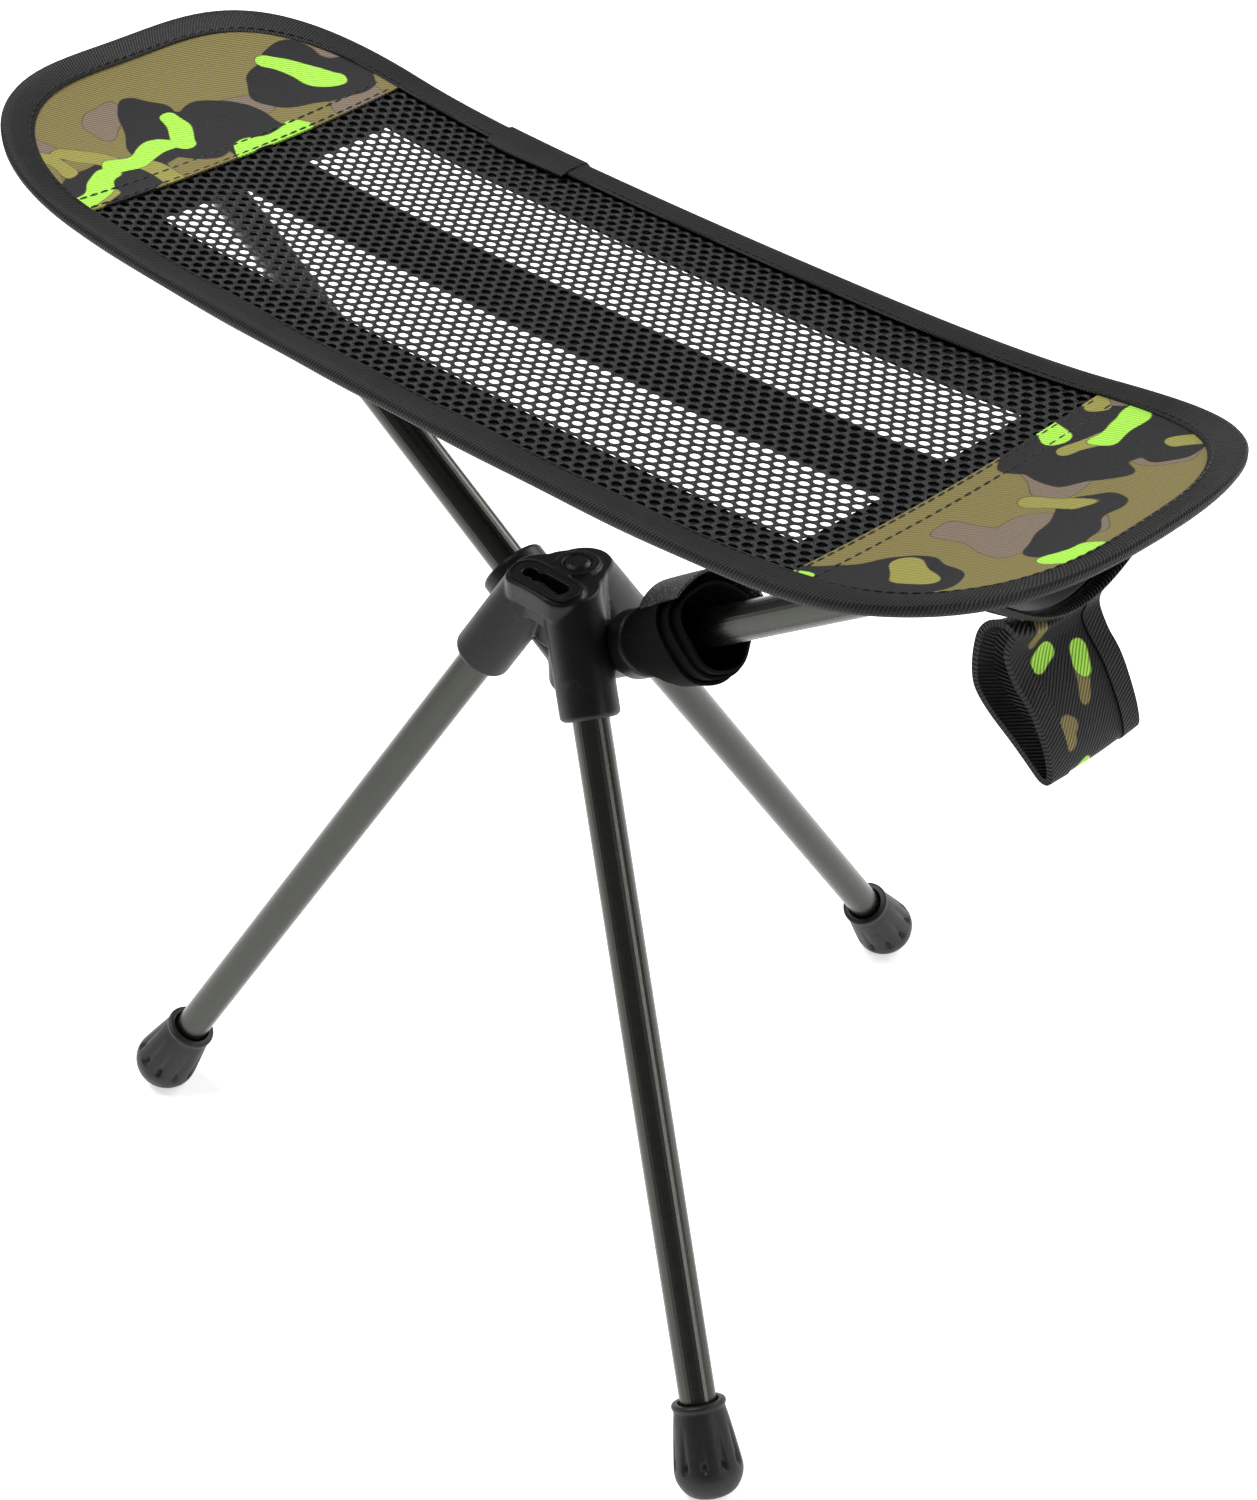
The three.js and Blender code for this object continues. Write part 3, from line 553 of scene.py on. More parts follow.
PLASTIC = plastic_material()
RUBBER = rubber_material()
TUBE = tube_material()
STEEL = steel_material()
CORD = cord_material()
NET = net_material()
BACKING = backing_material()
TAPE = tape_material()
THREAD = thread_material()
BOARD = board_material()
LOOP_TAPE = loop_tape_material()
HOOK_TAPE = hook_tape_material()
PRINT = {name: printed_cloth("print_" + name, panel_place(name), KHAKI, panel_camouflage(seed), PANEL_WARP)
         for name, seed in PANEL_SEEDS}
LOOP_CLOTH = printed_cloth("print_loop", Shader.uv, LOOP_BLACK, loop_camouflage(LOOP_SEED), LOOP_WARP)


# ---------------------------------------------------------------- CAD nodes shown as they are
def dress(node, material):
    mesh = NODES[node].data
    mesh.materials.clear()
    mesh.materials.append(material)
    smooth(mesh, 35)


for leg in LEGS:
    dress(f"leg_tube_{leg}", TUBE)
    dress(f"leg_cord_{leg}", CORD)
    dress(f"cord_plug_{leg}", PLASTIC)
for side_name in SIDES:
    dress(f"arm_tube_{side_name}", TUBE)
    dress(f"arm_tip_{side_name}", PLASTIC)
dress("hub_rivet", PLASTIC)
dress("rivet_washer", STEEL)


# ---------------------------------------------------------------- hub
def soften(node, name, voxel, passes):
    """A copy of a CAD moulding with its edges and corners rounded."""
    work = bpy.data.objects.new(name + "_work", NODES[node].data.copy())
    bpy.context.scene.collection.objects.link(work)
    remesh = work.modifiers.new("remesh", "REMESH")
    remesh.mode = "VOXEL"
    remesh.voxel_size = voxel * MM
    relax = work.modifiers.new("relax", "SMOOTH")
    relax.factor = 0.5
    relax.iterations = passes
    made = work.evaluated_get(bpy.context.evaluated_depsgraph_get())
    mesh = bpy.data.meshes.new_from_object(made)
    bpy.data.objects.remove(work)
    mesh.name = name
    mesh.materials.clear()
    mesh.materials.append(PLASTIC)
    mesh.polygons.foreach_set("use_smooth", [True] * len(mesh.polygons))
    return link(mesh, name, "frame", [node])


SLOT_HALF = 7.4             # from the slot's middle to the centres of its round ends


def ridge(name, outline, thickness, height):
    """A fine raised line on the hub's flat top, along a closed outline of (x, y)."""
    line = np.asarray(outline, float)
    ahead, behind = np.roll(line, -1, 0), np.roll(line, 1, 0)
    normal = np.stack([(ahead - behind)[:, 1], -(ahead - behind)[:, 0]], 1)
    normal /= np.linalg.norm(normal, axis=1)[:, None]
    angles = np.linspace(0, TAU, 8, endpoint=False)
    rings = [[(*(p + n * thickness * math.cos(a)), HUB_TOP + height * math.sin(a)) for a in angles]
             for p, n in zip(line, normal)]
    return piece(name, Shape().grid(rings, loop_rows=True, loop_cols=True), PLASTIC)


def lobe_outline(half, radius, count=24):
    """A flat oval of two half circles, as (x, y) round the slot's middle."""
    right = np.linspace(-math.pi / 2, math.pi / 2, count)
    ends = [(side * (half + radius * math.cos(a)), side * radius * math.sin(a))
            for side in (1, -1) for a in right]
    return np.array(ends)


def hub_details():
    soften("leg_hub", "leg_hub_moulding", 0.5, 7)
    soften("arm_yoke", "arm_yoke_moulding", 0.55, 6)
    low, high = box_mm("hub_rivet")
    centre = (low + high)[:2] / 2
    angles = np.linspace(0, TAU, 48, endpoint=False)
    circle = np.stack([np.cos(angles), np.sin(angles)], 1)
    ridge("rivet_ring", centre + 5.7 * circle, 0.35, 0.3)
    low, high = box_mm("hub_cord")
    middle = (low + high)[:2] / 2
    ridge("slot_rim", middle + lobe_outline(SLOT_HALF + 1, 6.2), 0.4, 0.25)


def hub_elastic():
    """The elastic that crosses the slot in the hub, bowed up a little."""
    low, high = box_mm("hub_cord")
    radius = (high[1] - low[1]) / 2
    y = (low[1] + high[1]) / 2
    left, right, top = low[0] + radius, high[0] - radius, high[2] - radius
    half = [(left, y, low[2]), (left, y, top - 3),
            (left + 1.6, y + 0.2, top - 0.6), (left + 5, y + 0.5, top)]
    route = half + [(left + right - x, 2 * y - b, z) for x, b, z in reversed(half)]
    piece("hub_elastic", cord_shape(smooth_line(route, 8), radius, 16), CORD, replaces=["hub_cord"])


hub_details()
hub_elastic()

# ---------------------------------------------------------------- rubber feet
FOOT_BALL_Z = 11.0
FOOT_FLUTES = 10
FOOT_PROFILE = (            # height along the leg above the ball's centre, radius
    (-12.0, 1.5), (-11.3, 5.2), (-9.8, 8.4), (-7, 10.7), (-3.8, 12.0), (-1, 12.2), (2, 11.9), (5, 11.5),
    (9, 10.95), (13, 10.35), (17, 9.7), (20, 9.2), (21, 9.45), (21.8, 9.7), (22.6, 9.5), (23, 8.9))
FOOT_BORE = ((23.0, 7.4), (21.5, 6.85), (4.0, 6.85))


def foot(leg):
    """A tapered rubber foot; shallow flutes run down it and end in round dimples."""
    middle, up = axis_of(f"leg_tube_{leg}")
    u, v = square_to(up)
    ball = middle + up * (FOOT_BALL_Z - middle[2]) / up[2]
    angles = np.linspace(0, TAU, FOOT_FLUTES * 16, endpoint=False)[:, None]
    off = (angles * FOOT_FLUTES / TAU + 0.5) % 1 - 0.5

    def ring(height, radius):
        slot = 0.7 * np.exp(-(off / 0.16) ** 2) * np.clip((17 - height) / 12, 0, 1)
        dimple = 1.0 * np.exp(-(off / 0.13) ** 2 - ((height - 2.0) / 1.5) ** 2)
        reach = radius - (slot if height > 0 else 0) - dimple
        points = ball + up * height + reach * (u * np.cos(angles) + v * np.sin(angles))
        points[:, 2] = np.maximum(points[:, 2], 0)
        return points

    outside = [ring(h, r) for h, r in smooth_line(FOOT_PROFILE, 5)]
    inside = [ball + up * h + r * (u * np.cos(angles) + v * np.sin(angles)) for h, r in FOOT_BORE]
    shape = Shape().grid(outside + inside, loop_cols=True).fan(outside[0]).fan(inside[-1])
    piece(f"foot_{leg}_moulded", shape, RUBBER, body=f"leg_{leg}",
          replaces=[f"foot_{leg}"], sharp=50)


for leg in LEGS:
    foot(leg)


# ---------------------------------------------------------------- seat cloth
def seat_points(xs, lows, highs, rows, lift, wave=0.0, seed=1.0):
    """A grid of points on the seat: one column of y values for each x."""
    share = np.linspace(0, 1, rows + 1)[None, :]
    x = np.repeat(np.asarray(xs, float)[:, None], rows + 1, 1)
    y = np.asarray(lows)[:, None] * (1 - share) + np.asarray(highs)[:, None] * share
    z = seat_z(x, y) + wave * ripple(x, y, 24, seed) + lift
    return np.stack([x, y, z], 2)


def seat_sheet(name, xs, lows, highs, rows, under, over, material, replaces, wave=0.0, seed=1.0):
    top = seat_points(xs, lows, highs, rows, over, wave, seed)
    bottom = seat_points(xs, lows, highs, rows, under, wave, seed)
    shape = sheet_shape(top, bottom, us=np.asarray(xs, float), vs=np.linspace(lows[0], highs[0], rows + 1))
    return piece(name, shape, material, replaces=replaces)


def backing_strips():
    """Plain cloth under the net: three long strips and one across each end of the windows."""
    for name in ("front", "middle", "back"):
        low, high = box_mm(f"net_strip_{name}")
        xs = np.linspace(low[0], high[0], 80)
        made = seat_sheet(f"backing_{name}", xs, np.full(80, low[1]), np.full(80, high[1]), 6, -1.5, -0.8,
                          BACKING, [f"net_strip_{name}"], 0.1, 2.0)
    for name, side in SIDES.items():
        low, high = box_mm(f"net_strip_{name}")
        near, far = sorted((abs(low[0]), abs(high[0])))
        xs = side * np.linspace(near, far, 12)
        half = half_width(xs, EDGE_INSET)
        made = seat_sheet(f"backing_{name}", xs, SEAT_Y - half, SEAT_Y + half, 24, -1.5, -0.8,
                          BACKING, [f"net_strip_{name}"])


NET_PITCH = 5.3             # hole centres along a row
NET_ROW = 3.45              # between rows, each half a pitch along from the last
NET_HOLE = (2.02, 1.46)     # half length and half width of a hole
NET_T = 0.9
HOLE_SIDES = 8


def net_z(x, y):
    """The net sags a little between its strips, and has one soft crease near the front."""
    back = y - SEAT_Y
    crease = 0.8 * np.exp(-((back + 37 - 0.06 * x) / 4) ** 2) * np.exp(-((x - 40) / 55) ** 2)
    return seat_z(x, y) + 0.22 * ripple(x, y, 30, 1.0) + crease


def net_cells():
    """Centres of the diamond cells, in rows offset by half a pitch."""
    columns = int((SEAM_X + 3) / (NET_PITCH / 2))
    rows = int((HALF_W - BINDING_W + 2.5) / NET_ROW)
    return np.array([(c, r) for r in range(-rows, rows + 1) for c in range(-columns, columns + 1)
                     if (r + c) % 2 == 0])


def seat_net():
    """Open mesh with a real hole in every cell."""
    cells = net_cells()
    outline = np.array([(2, 0), (1, 1), (0, 2), (-1, 1), (-2, 0), (-1, -1), (0, -2), (1, -1)])
    keys = (cells[:, None] * 2 + outline[None]).reshape(-1, 2)
    corners, index = np.unique(keys, axis=0, return_inverse=True)
    index = index.reshape(-1, HOLE_SIDES)
    outer = corners * (NET_PITCH / 4, NET_ROW / 2)
    angles = np.linspace(0, TAU, HOLE_SIDES, endpoint=False)
    hole = np.stack([NET_HOLE[0] * np.cos(angles), NET_HOLE[1] * np.sin(angles)], 1)
    inner = (cells[:, None] * (NET_PITCH / 2, NET_ROW) + hole[None]).reshape(-1, 2)
    flat = np.vstack([outer, inner])
    thick = np.concatenate([np.full(len(outer), 0.5), np.full(len(inner), 0.24)]) * NET_T
    x, y = flat[:, 0], flat[:, 1] + SEAT_Y
    middle = net_z(x, y)
    points = np.vstack([np.stack([x, y, middle + thick], 1), np.stack([x, y, middle - thick], 1)])
    rim = np.arange(len(inner)).reshape(-1, HOLE_SIDES) + len(outer)
    outer_next, rim_next = np.roll(index, -1, 1), np.roll(rim, -1, 1)
    over = np.stack([index, outer_next, rim_next, rim], -1).reshape(-1, 4)
    under = over[:, ::-1] + len(flat)
    walls = np.stack([rim, rim_next, rim_next + len(flat), rim + len(flat)], -1).reshape(-1, 4)
    edges = np.stack([index, outer_next], -1).reshape(-1, 2)
    codes, reverse = edges @ (len(flat), 1), edges @ (1, len(flat))
    border = edges[~np.isin(codes, reverse)]
    skirt = np.stack([border[:, 1], border[:, 0], border[:, 0] + len(flat), border[:, 1] + len(flat)], -1)
    shape = Shape()
    faces = np.vstack([over, under, walls, skirt])
    shape.add(points, faces, np.zeros((faces.size, 2)))
    made = piece("seat_net_mesh", shape, NET, replaces=["seat_net"], sharp=80, weld=False)


def end_panels():
    """The printed ends, sewn over the net and their backing."""
    for name, side in SIDES.items():
        far = HALF_L - EDGE_INSET
        xs = side * (SEAM_X + (far - SEAM_X) * np.sin(np.linspace(0, math.radians(88), 60)))
        half = half_width(xs, EDGE_INSET)
        made = seat_sheet(f"end_panel_{name}_cloth", xs, SEAT_Y - half, SEAT_Y + half, 90, 0.85, 1.45,
                          PRINT[name], [f"end_panel_{name}"], 0.2, 3.0 * side)


def end_backings():
    """Plain cloth under the printed ends."""
    for name, side in SIDES.items():
        low, high = box_mm(f"end_backing_{name}")
        near = min(abs(low[0]), abs(high[0]))
        far = HALF_L - EDGE_INSET
        xs = side * (near + (far - near) * np.sin(np.linspace(0, math.radians(87), 30)))
        half = half_width(xs, EDGE_INSET)
        made = seat_sheet(f"end_backing_{name}_cloth", xs, SEAT_Y - half, SEAT_Y + half, 40, -0.8, 0.4,
                          BACKING, [f"end_backing_{name}"])


backing_strips()
seat_net()
end_panels()
end_backings()


# ---------------------------------------------------------------- edge binding
def outline(inset, stations):
    """The seat's outline drawn in by inset, as (x, y) once round; stations are (part, share)."""
    end = HALF_L - inset - STRAIGHT_X
    wide = HALF_W - inset
    out = []
    for part, share in stations:
        if part in (0, 2):
            side = 1 if part == 0 else -1
            a = math.radians(-90 + 180 * share)
            x = side * (STRAIGHT_X + end * max(math.cos(a), 0) ** END_EXP_X)
            y = side * math.copysign(abs(math.sin(a)) ** END_EXP_Y, math.sin(a)) * wide
        else:
            side = 1 if part == 1 else -1
            x = side * STRAIGHT_X * (1 - 2 * share)
            y = side * wide
        out.append((x, SEAT_Y + y))
    return np.array(out)


def round_stations():
    """Even steps along the straight edges, finer ones round the ends."""
    end = [0.5 - 0.5 * math.cos(math.pi * k / 90) for k in range(90)]
    straight = [k / 70 for k in range(70)]
    return ([(0, s) for s in end] + [(1, s) for s in straight]
            + [(2, s) for s in end] + [(3, s) for s in straight])


TAPE_SECTION = (            # in from the edge, height: over the top, round the fold and back inside
    (10.5, 1.75), (10.2, 2.15), (9.3, 2.35), (6.5, 2.5), (4, 2.65), (2.2, 2.5), (0.8, 1.9), (0.1, 0.8),
    (0.1, -0.8), (0.8, -2.0), (2.2, -2.6), (4, -2.75), (6.5, -2.65), (9.3, -2.5), (10.2, -2.3),
    (10.5, -1.85), (9.9, -1.8), (6, -1.85), (1.5, -1.7), (1.3, 0), (1.5, 1.6), (6, 1.75), (9.9, 1.7))
STITCH_INSET = 9.2


def edge_tape():
    """Ribbed tape folded over the seat's whole edge."""
    stations = round_stations()
    rim = outline(0, stations)
    lengths = np.concatenate([[0], np.cumsum(np.linalg.norm(np.diff(rim, axis=0), axis=1))])
    columns = []
    for inset, height in TAPE_SECTION:
        line = outline(inset, stations)
        swell = 0.3 * np.sin(lengths / 9.5 + 0.4 * np.sin(lengths / 31)) * (1.9 < abs(height))
        z = seat_z(line[:, 0], line[:, 1]) + height + 0.5 * swell * math.copysign(1, height)
        columns.append(np.column_stack([line, z]))
    steps = np.linalg.norm(np.diff(np.array(TAPE_SECTION), axis=0), axis=1)
    across = np.concatenate([[0], np.cumsum(steps)])
    shape = Shape().grid(np.stack(columns, 1), us=lengths, vs=across, loop_rows=True, loop_cols=True)
    piece("edge_tape", shape, TAPE, replaces=["edge_binding"])


def tape_join():
    """Where the tape's two ends overlap on the back edge."""
    low, high = box_mm("binding_join")
    xs = np.linspace(low[0], high[0], 24)
    insets = [-0.9, -0.7, 0.6, 3, 5, 7.5, 10, 12.8, 13.4]
    lifts = [-1.2, 1.0, 2.7, 3.2, 3.25, 3.2, 3.0, 2.5, 1.9]
    edge = 0.5 * np.sin(np.linspace(0, 5, 24))
    top = [[(x, SEAT_Y + HALF_W - i - (e if i > 12.5 else 0)) for i in insets] for x, e in zip(xs, edge)]
    top = np.array(top)
    z = seat_z(top[..., 0], top[..., 1]) + np.array(lifts)[None, :]
    upper = np.concatenate([top, z[..., None]], 2)
    inward = np.array([0.6, 0.6, 0.5, 0, 0, 0, 0, 0, 0])
    lower = upper - np.stack([0 * z, np.tile(inward, (24, 1)), np.full_like(z, 0.55)], 2)
    piece("tape_join", sheet_shape(upper, lower, us=xs * 1.0, vs=np.array(insets)), TAPE,
          replaces=["binding_join"])


def lift_line(line, lift):
    """Points and upward normals on the seat along a line of (x, y)."""
    x, y = line[:, 0], line[:, 1]
    points = np.column_stack([x, y, seat_z(x, y) + lift])
    dx = seat_z(x + 0.5, y) - seat_z(x - 0.5, y)
    dy = seat_z(x, y + 0.5) - seat_z(x, y - 0.5)
    ups = np.column_stack([-dx, -dy, np.ones_like(dx)])
    return points, ups / np.linalg.norm(ups, axis=1)[:, None]


def tape_stitches():
    stations = round_stations()
    stations.append(stations[0])
    lines = [lift_line(outline(STITCH_INSET, stations), 2.42)]
    under = lift_line(outline(STITCH_INSET, stations), -2.55)
    lines.append((under[0], -under[1]))
    piece("tape_stitches", stitch_shape(lines), THREAD, weld=False)


def seam_stitches():
    """Two rows of stitches along the inner edge of each printed end."""
    lines = []
    for side in SIDES.values():
        for out in (1.2, 7.4):
            x = side * (SEAM_X + out)
            half = float(half_width(x, BINDING_W))
            ys = SEAT_Y + np.linspace(-half, half, 60)
            lines.append(lift_line(np.column_stack([np.full(60, x), ys]), 1.55))
    piece("seam_stitches", stitch_shape(lines, length=3.1, gap=1.2), THREAD, weld=False)


edge_tape()
tape_join()
tape_stitches()
seam_stitches()

# ---------------------------------------------------------------- pockets under the seat's ends
POCKET_HALF = 48.0
POCKET_CLEAR = 4.4
POCKET_MOUTH = (190.0, 21.5)        # x and hang of the inner edge
POCKET_OUTER = (209.0, 21.5)        # and of the bound outer edge
POCKET_T = 0.9
POCKET_TAPE_W = 6.0
LINER_LIFT = 0.3
LINER_T = 0.6


def pocket_drop(x, y):
    """How far a pocket hangs below the seat."""
    share = (np.abs(x) - POCKET_MOUTH[0]) / (POCKET_OUTER[0] - POCKET_MOUTH[0])
    depth = POCKET_MOUTH[1] + (POCKET_OUTER[1] - POCKET_MOUTH[1]) * share
    across = np.clip(np.abs(y - SEAT_Y) / POCKET_HALF, 0, 1)
    return -POCKET_CLEAR - depth * (1 - across**2) ** 1.5


def pocket(name, side):
    """A cloth sling below the seat's end that the arm's tip pushes into."""
    xs = side * np.linspace(POCKET_MOUTH[0], POCKET_OUTER[0], 24)
    ys = SEAT_Y + np.linspace(-POCKET_HALF, POCKET_HALF, 61)
    x, y = np.meshgrid(xs, ys, indexing="ij")
    z = seat_z(x, y) + pocket_drop(x, y)
    top = np.stack([x, y, z], 2)
    made = piece(f"pocket_{name}_cloth", sheet_shape(top, top - (0, 0, POCKET_T), us=xs, vs=ys), BACKING,
                 replaces=[f"pocket_{name}"])


def pocket_liner(name, side):
    """The smooth grey sheet inside the pocket."""
    low, high = box_mm(f"pocket_liner_{name}")
    near, far = sorted((abs(low[0]), abs(high[0])))
    xs = side * np.linspace(near, far, 14)
    ys = np.linspace(low[1], high[1], 61)
    x, y = np.meshgrid(xs, ys, indexing="ij")
    z = seat_z(x, y) + pocket_drop(x, y) + LINER_LIFT
    bottom = np.stack([x, y, z], 2)
    shape = sheet_shape(bottom + (0, 0, LINER_T), bottom, us=xs, vs=ys)
    made = piece(f"pocket_liner_{name}_sheet", shape, BOARD, replaces=[f"pocket_liner_{name}"])


def pocket_tape(name, side):
    """Tape folded over the pocket's outer edge."""
    ys = SEAT_Y + np.linspace(-POCKET_HALF, POCKET_HALF, 80)
    width = POCKET_TAPE_W
    section = ((width, 0.85), (width - 0.4, 1.25), (3.5, 1.5), (1.2, 1.25), (0, 0.3),
               (0, -0.3), (1.2, -1.25), (3.5, -1.5), (width - 0.4, -1.25), (width, -0.85),
               (3.5, -0.8), (1.4, -0.7), (1.4, 0.7), (3.5, 0.8))
    columns = []
    for inset, height in section:
        x = np.full_like(ys, side * (POCKET_OUTER[0] + 1.4 - inset))
        z = seat_z(x, ys) + pocket_drop(x, ys) - POCKET_T / 2 + height
        columns.append(np.column_stack([x, ys, z]))
    rings = np.stack(columns, 1)
    shape = Shape().grid(rings, us=ys * 1.0, vs=np.arange(14.0), loop_cols=True)
    shape.fan(rings[0]).fan(rings[-1])
    piece(f"pocket_tape_{name}", shape, TAPE, replaces=[f"pocket_binding_{name}"])


for name, side in SIDES.items():
    pocket(name, side)
    pocket_liner(name, side)
    pocket_tape(name, side)

# ---------------------------------------------------------------- carry loop
LOOP_TOP = (199.0, 343.0)
LOOP_HALF = 20.5
LOOP_CUP = 5.2              # the loop's sides curl up this much at the top, under the pocket
LOOP_CUP_DEPTH = 14.0       # and are level this far down
LOOP_LINE = (               # x and z from the loop's top, down the near limb and up the far one
    (0, 0), (-4.8, -0.9), (-8.4, -4.2), (-9.7, -9), (-9.6, -14.5), (-8, -20), (-3, -25.3), (5, -31.6),
    (13, -38), (16.8, -40.6), (19.4, -40.4), (20.2, -37.5), (17.6, -29.4), (11.4, -18.7), (4.4, -11.6),
    (1.6, -7.2), (2.6, -3.4), (3.2, -1.2))


def loop_band(y0, y1, thickness, steps):
    """A closed band of webbing between two y values, as rings of a box section."""
    line = smooth_line(LOOP_LINE, 8, closed=True)
    ahead, behind = np.roll(line, -1, 0), np.roll(line, 1, 0)
    tangent = (ahead - behind) / np.linalg.norm(ahead - behind, axis=1)[:, None]
    normal = np.column_stack([tangent[:, 1], -tangent[:, 0]])
    run = np.concatenate([[0], np.cumsum(np.linalg.norm(np.diff(line, axis=0), axis=1))])
    ys = np.linspace(y0, y1, steps)
    half = thickness / 2
    section = [(y, half) for y in ys] + [(y, -half) for y in ys[::-1]]
    rings = []
    for (x, z), (nx, nz), s in zip(line, normal, run):
        ring = []
        for y, out in section:
            wave = 0.5 * math.sin(s / 8 + y / 11) * math.sin(min(s, run[-1] - s) / run[-1] * math.pi)
            reach = out + wave
            cup = LOOP_CUP * (y / LOOP_HALF) ** 2 * max(1 + z / LOOP_CUP_DEPTH, 0)
            ring.append((LOOP_TOP[0] + x + nx * reach, SEAT_Y + y, LOOP_TOP[1] + z + cup + nz * reach))
        rings.append(ring)
    vs = np.array([y for y, _ in section])
    return Shape().grid(rings, us=run[-1] - run, vs=vs, loop_rows=True, loop_cols=True), run[-1]


def carry_loop():
    low, high = box_mm("handle_loop")
    middle = (high[1] - low[1]) / 2
    shape, length = loop_band(-middle, middle, 1.3, 14)
    made = piece("handle_loop_cloth", shape, LOOP_CLOTH, body="handle", replaces=["handle_loop"])
    for name, sign in (("front", -1), ("back", 1)):
        low, high = box_mm(f"handle_edge_{name}")
        near, far = (high[1], low[1]) if sign < 0 else (low[1], high[1])
        shape, _ = loop_band(near - SEAT_Y, far - SEAT_Y, 2.2, 8)
        piece(f"handle_edge_{name}_tape", shape, TAPE, body="handle",
              replaces=[f"handle_edge_{name}"])


def handle_tab():
    """The tab under the pocket that the loop is sewn to."""
    low, high = box_mm("handle_tab")
    xs = np.linspace(low[0], high[0], 12)
    ys = np.linspace(low[1], high[1], 24)
    x, y = np.meshgrid(xs, ys, indexing="ij")
    z = seat_z(x, y) + pocket_drop(x, y) - POCKET_T - 0.35
    top = np.stack([x, y, z], 2)
    piece("handle_tab_tape", sheet_shape(top, top - (0, 0, 1.1), us=xs, vs=ys), TAPE,
          replaces=["handle_tab"])


carry_loop()
handle_tab()


# ---------------------------------------------------------------- hook-and-loop strap
STRAP_T = 1.05
FLAP_T = 0.95


def strap():
    """Wraps of loop tape round the right arm, each wider than the one inside it, and the hook end."""
    middle, out = axis_of("arm_tube_right")
    start = middle - out * middle[0] / out[0]
    u, v = square_to(out)

    def at(radius, angle, along):
        return start + out * along + radius * (u * math.cos(angle) + v * math.sin(angle))

    def wave(angle, share, seed):
        return share**2 * (0.55 * math.sin(3 * angle + seed) + 0.35 * math.sin(5 * angle + 2 * seed))

    # from and to along the arm, radius at each, wave at the open end
    wraps = ((42, 60, 10.9, 11.4, 0.2, 0.3), (47, 66, 12.3, 12.7, 0.4, 0.6),
             (51.5, 79.5, 13.7, 14.3, 1.4, 0.9), (55, 76, 15.1, 15.8, 1.3, 0.7),
             (60, 71, 16.5, 17.3, 1.1, 0.8))
    angles = np.linspace(0, TAU, 72, endpoint=False)
    shape = Shape()
    for a0, a1, r0, r1, rough, seed in wraps:
        rings = []
        shares = np.linspace(0, 1, 14)
        for side, steps in ((0.0, shares), (STRAP_T, shares[::-1])):
            for t in steps:
                ring = []
                for a in angles:
                    along = a0 + (a1 - a0) * t + 0.9 * math.sin(a * 2 + seed) * t
                    radius = r0 + (r1 - r0) * t**1.3 + rough * wave(a, t, seed) + side
                    ring.append(at(radius, a, along))
                rings.append(ring)
        shape.grid(rings, loop_rows=True, loop_cols=True)
    piece("strap_wraps", shape, LOOP_TAPE, replaces=["strap_band"])

    over = [(t, FLAP_T) for t in np.linspace(0, 1, 10)]
    under = [(t, 0.0) for t in np.linspace(1, 0, 10)]
    rings = []
    for a in np.radians(np.linspace(-15, 128, 30)):
        ring = []
        for t, lift in over + under:
            taper = 3.5 * (1 - math.sin(a / 1.25 + 0.35)) ** 2
            along = 59 + taper + (81.5 - 59 - taper) * t
            radius = 18.1 + 0.5 * t + 1.3 * wave(a, t, 0.8) + lift
            ring.append(at(radius, a, along))
        rings.append(ring)
    shape = Shape().grid(rings, loop_cols=True).fan(rings[0]).fan(rings[-1])
    piece("strap_hook_flap", shape, HOOK_TAPE, replaces=["strap_hook_end"])


strap()


# ---------------------------------------------------------------- studio
def area_light(name, place, aim, size, power):
    light = bpy.data.lights.new(name, "AREA")
    light.shape = "RECTANGLE"
    light.size, light.size_y = size
    light.energy = power
    obj = bpy.data.objects.new(name, light)
    obj.location = place
    obj.rotation_euler = (Vector(aim) - Vector(place)).to_track_quat("-Z", "Y").to_euler()
    bpy.context.scene.collection.objects.link(obj)


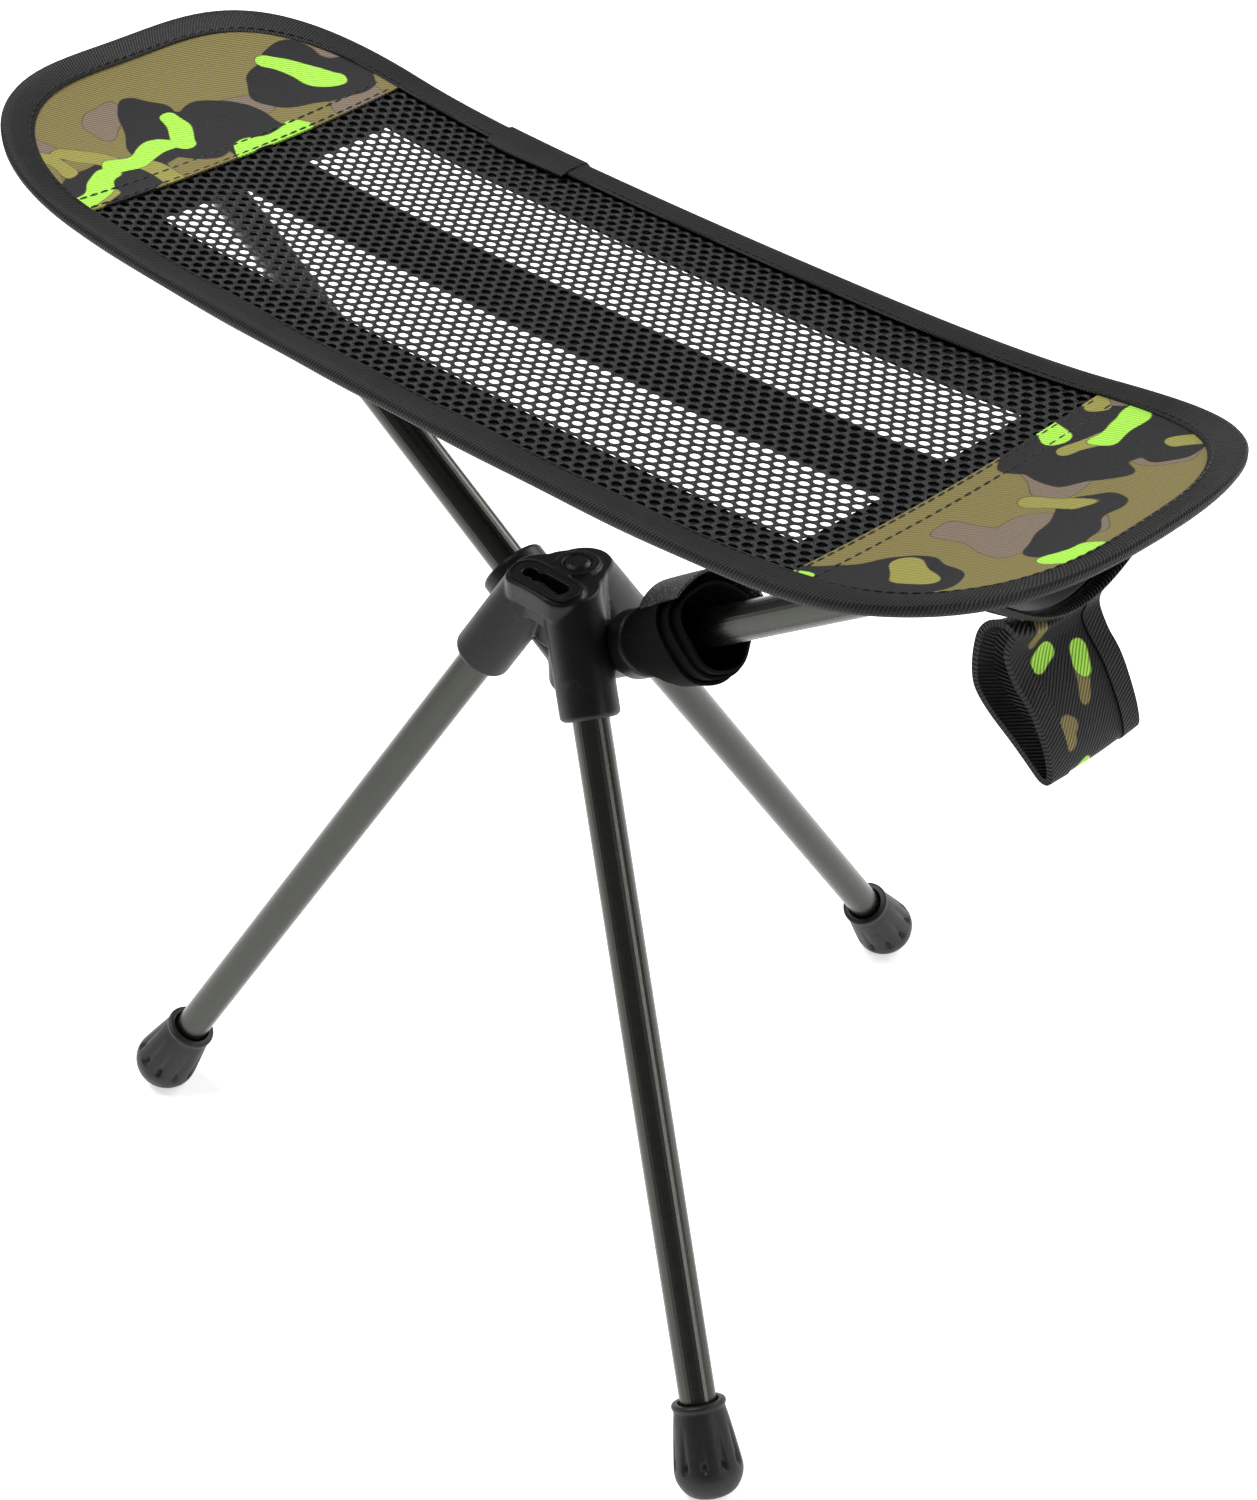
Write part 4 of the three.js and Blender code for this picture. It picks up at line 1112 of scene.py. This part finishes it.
WORLD_LIGHT = 0.17
FLOOR_GLOW = 0.6


def studio():
    """A plain white floor and large soft lights."""
    scene = bpy.context.scene
    scene.view_settings.view_transform = "Standard"
    world = bpy.data.worlds.new("studio")
    world.use_nodes = True
    world.node_tree.nodes["Background"].inputs[0].default_value = (1, 1, 1, 1)
    world.node_tree.nodes["Background"].inputs[1].default_value = WORLD_LIGHT
    scene.world = world
    s = Shader("floor_white", (0.9, 0.9, 0.9), 0.9, specular=0.1)
    s.bsdf.inputs["Emission Color"].default_value = (1, 1, 1, 1)
    s.bsdf.inputs["Emission Strength"].default_value = FLOOR_GLOW
    mesh = bpy.data.meshes.new("floor")
    mesh.from_pydata([(-8, -8, 0), (8, -8, 0), (8, 8, 0), (-8, 8, 0)], [], [(0, 1, 2, 3)])
    mesh.materials.append(s.material)
    floor = bpy.data.objects.new("floor", mesh)
    scene.collection.objects.link(floor)
    area_light("key", (-1.0, -0.3, 1.9), (0, 0, 0.25), (1.3, 1.3), 48)
    area_light("back", (0.5, 1.7, 1.3), (0, 0, 0.25), (1.8, 0.9), 26)
    area_light("side", (1.9, 0.3, 0.8), (0, 0, 0.25), (0.5, 1.4), 8)


CAMERA_AZIMUTH = 44.02
CAMERA_ELEVATION = 38.69
CAMERA_PLACE = (0.63044, -0.62214, 0.82164)
FOCAL = 2986 / 1500         # focal length in heights of the picture
CENTRE_OFF = (-0.0591, 0.0849)


def camera():
    data = bpy.data.cameras.new("camera")
    data.sensor_width = 36
    data.lens = 36 * FOCAL
    data.shift_x, data.shift_y = CENTRE_OFF
    data.clip_start = 0.05
    obj = bpy.data.objects.new("camera", data)
    a, e = math.radians(CAMERA_AZIMUTH), math.radians(CAMERA_ELEVATION)
    back = Vector((math.sin(a) * math.cos(e), -math.cos(a) * math.cos(e), math.sin(e)))
    obj.location = CAMERA_PLACE
    obj.rotation_euler = (-back).to_track_quat("-Z", "Y").to_euler()
    bpy.context.scene.collection.objects.link(obj)
    bpy.context.scene.camera = obj


studio()
camera()
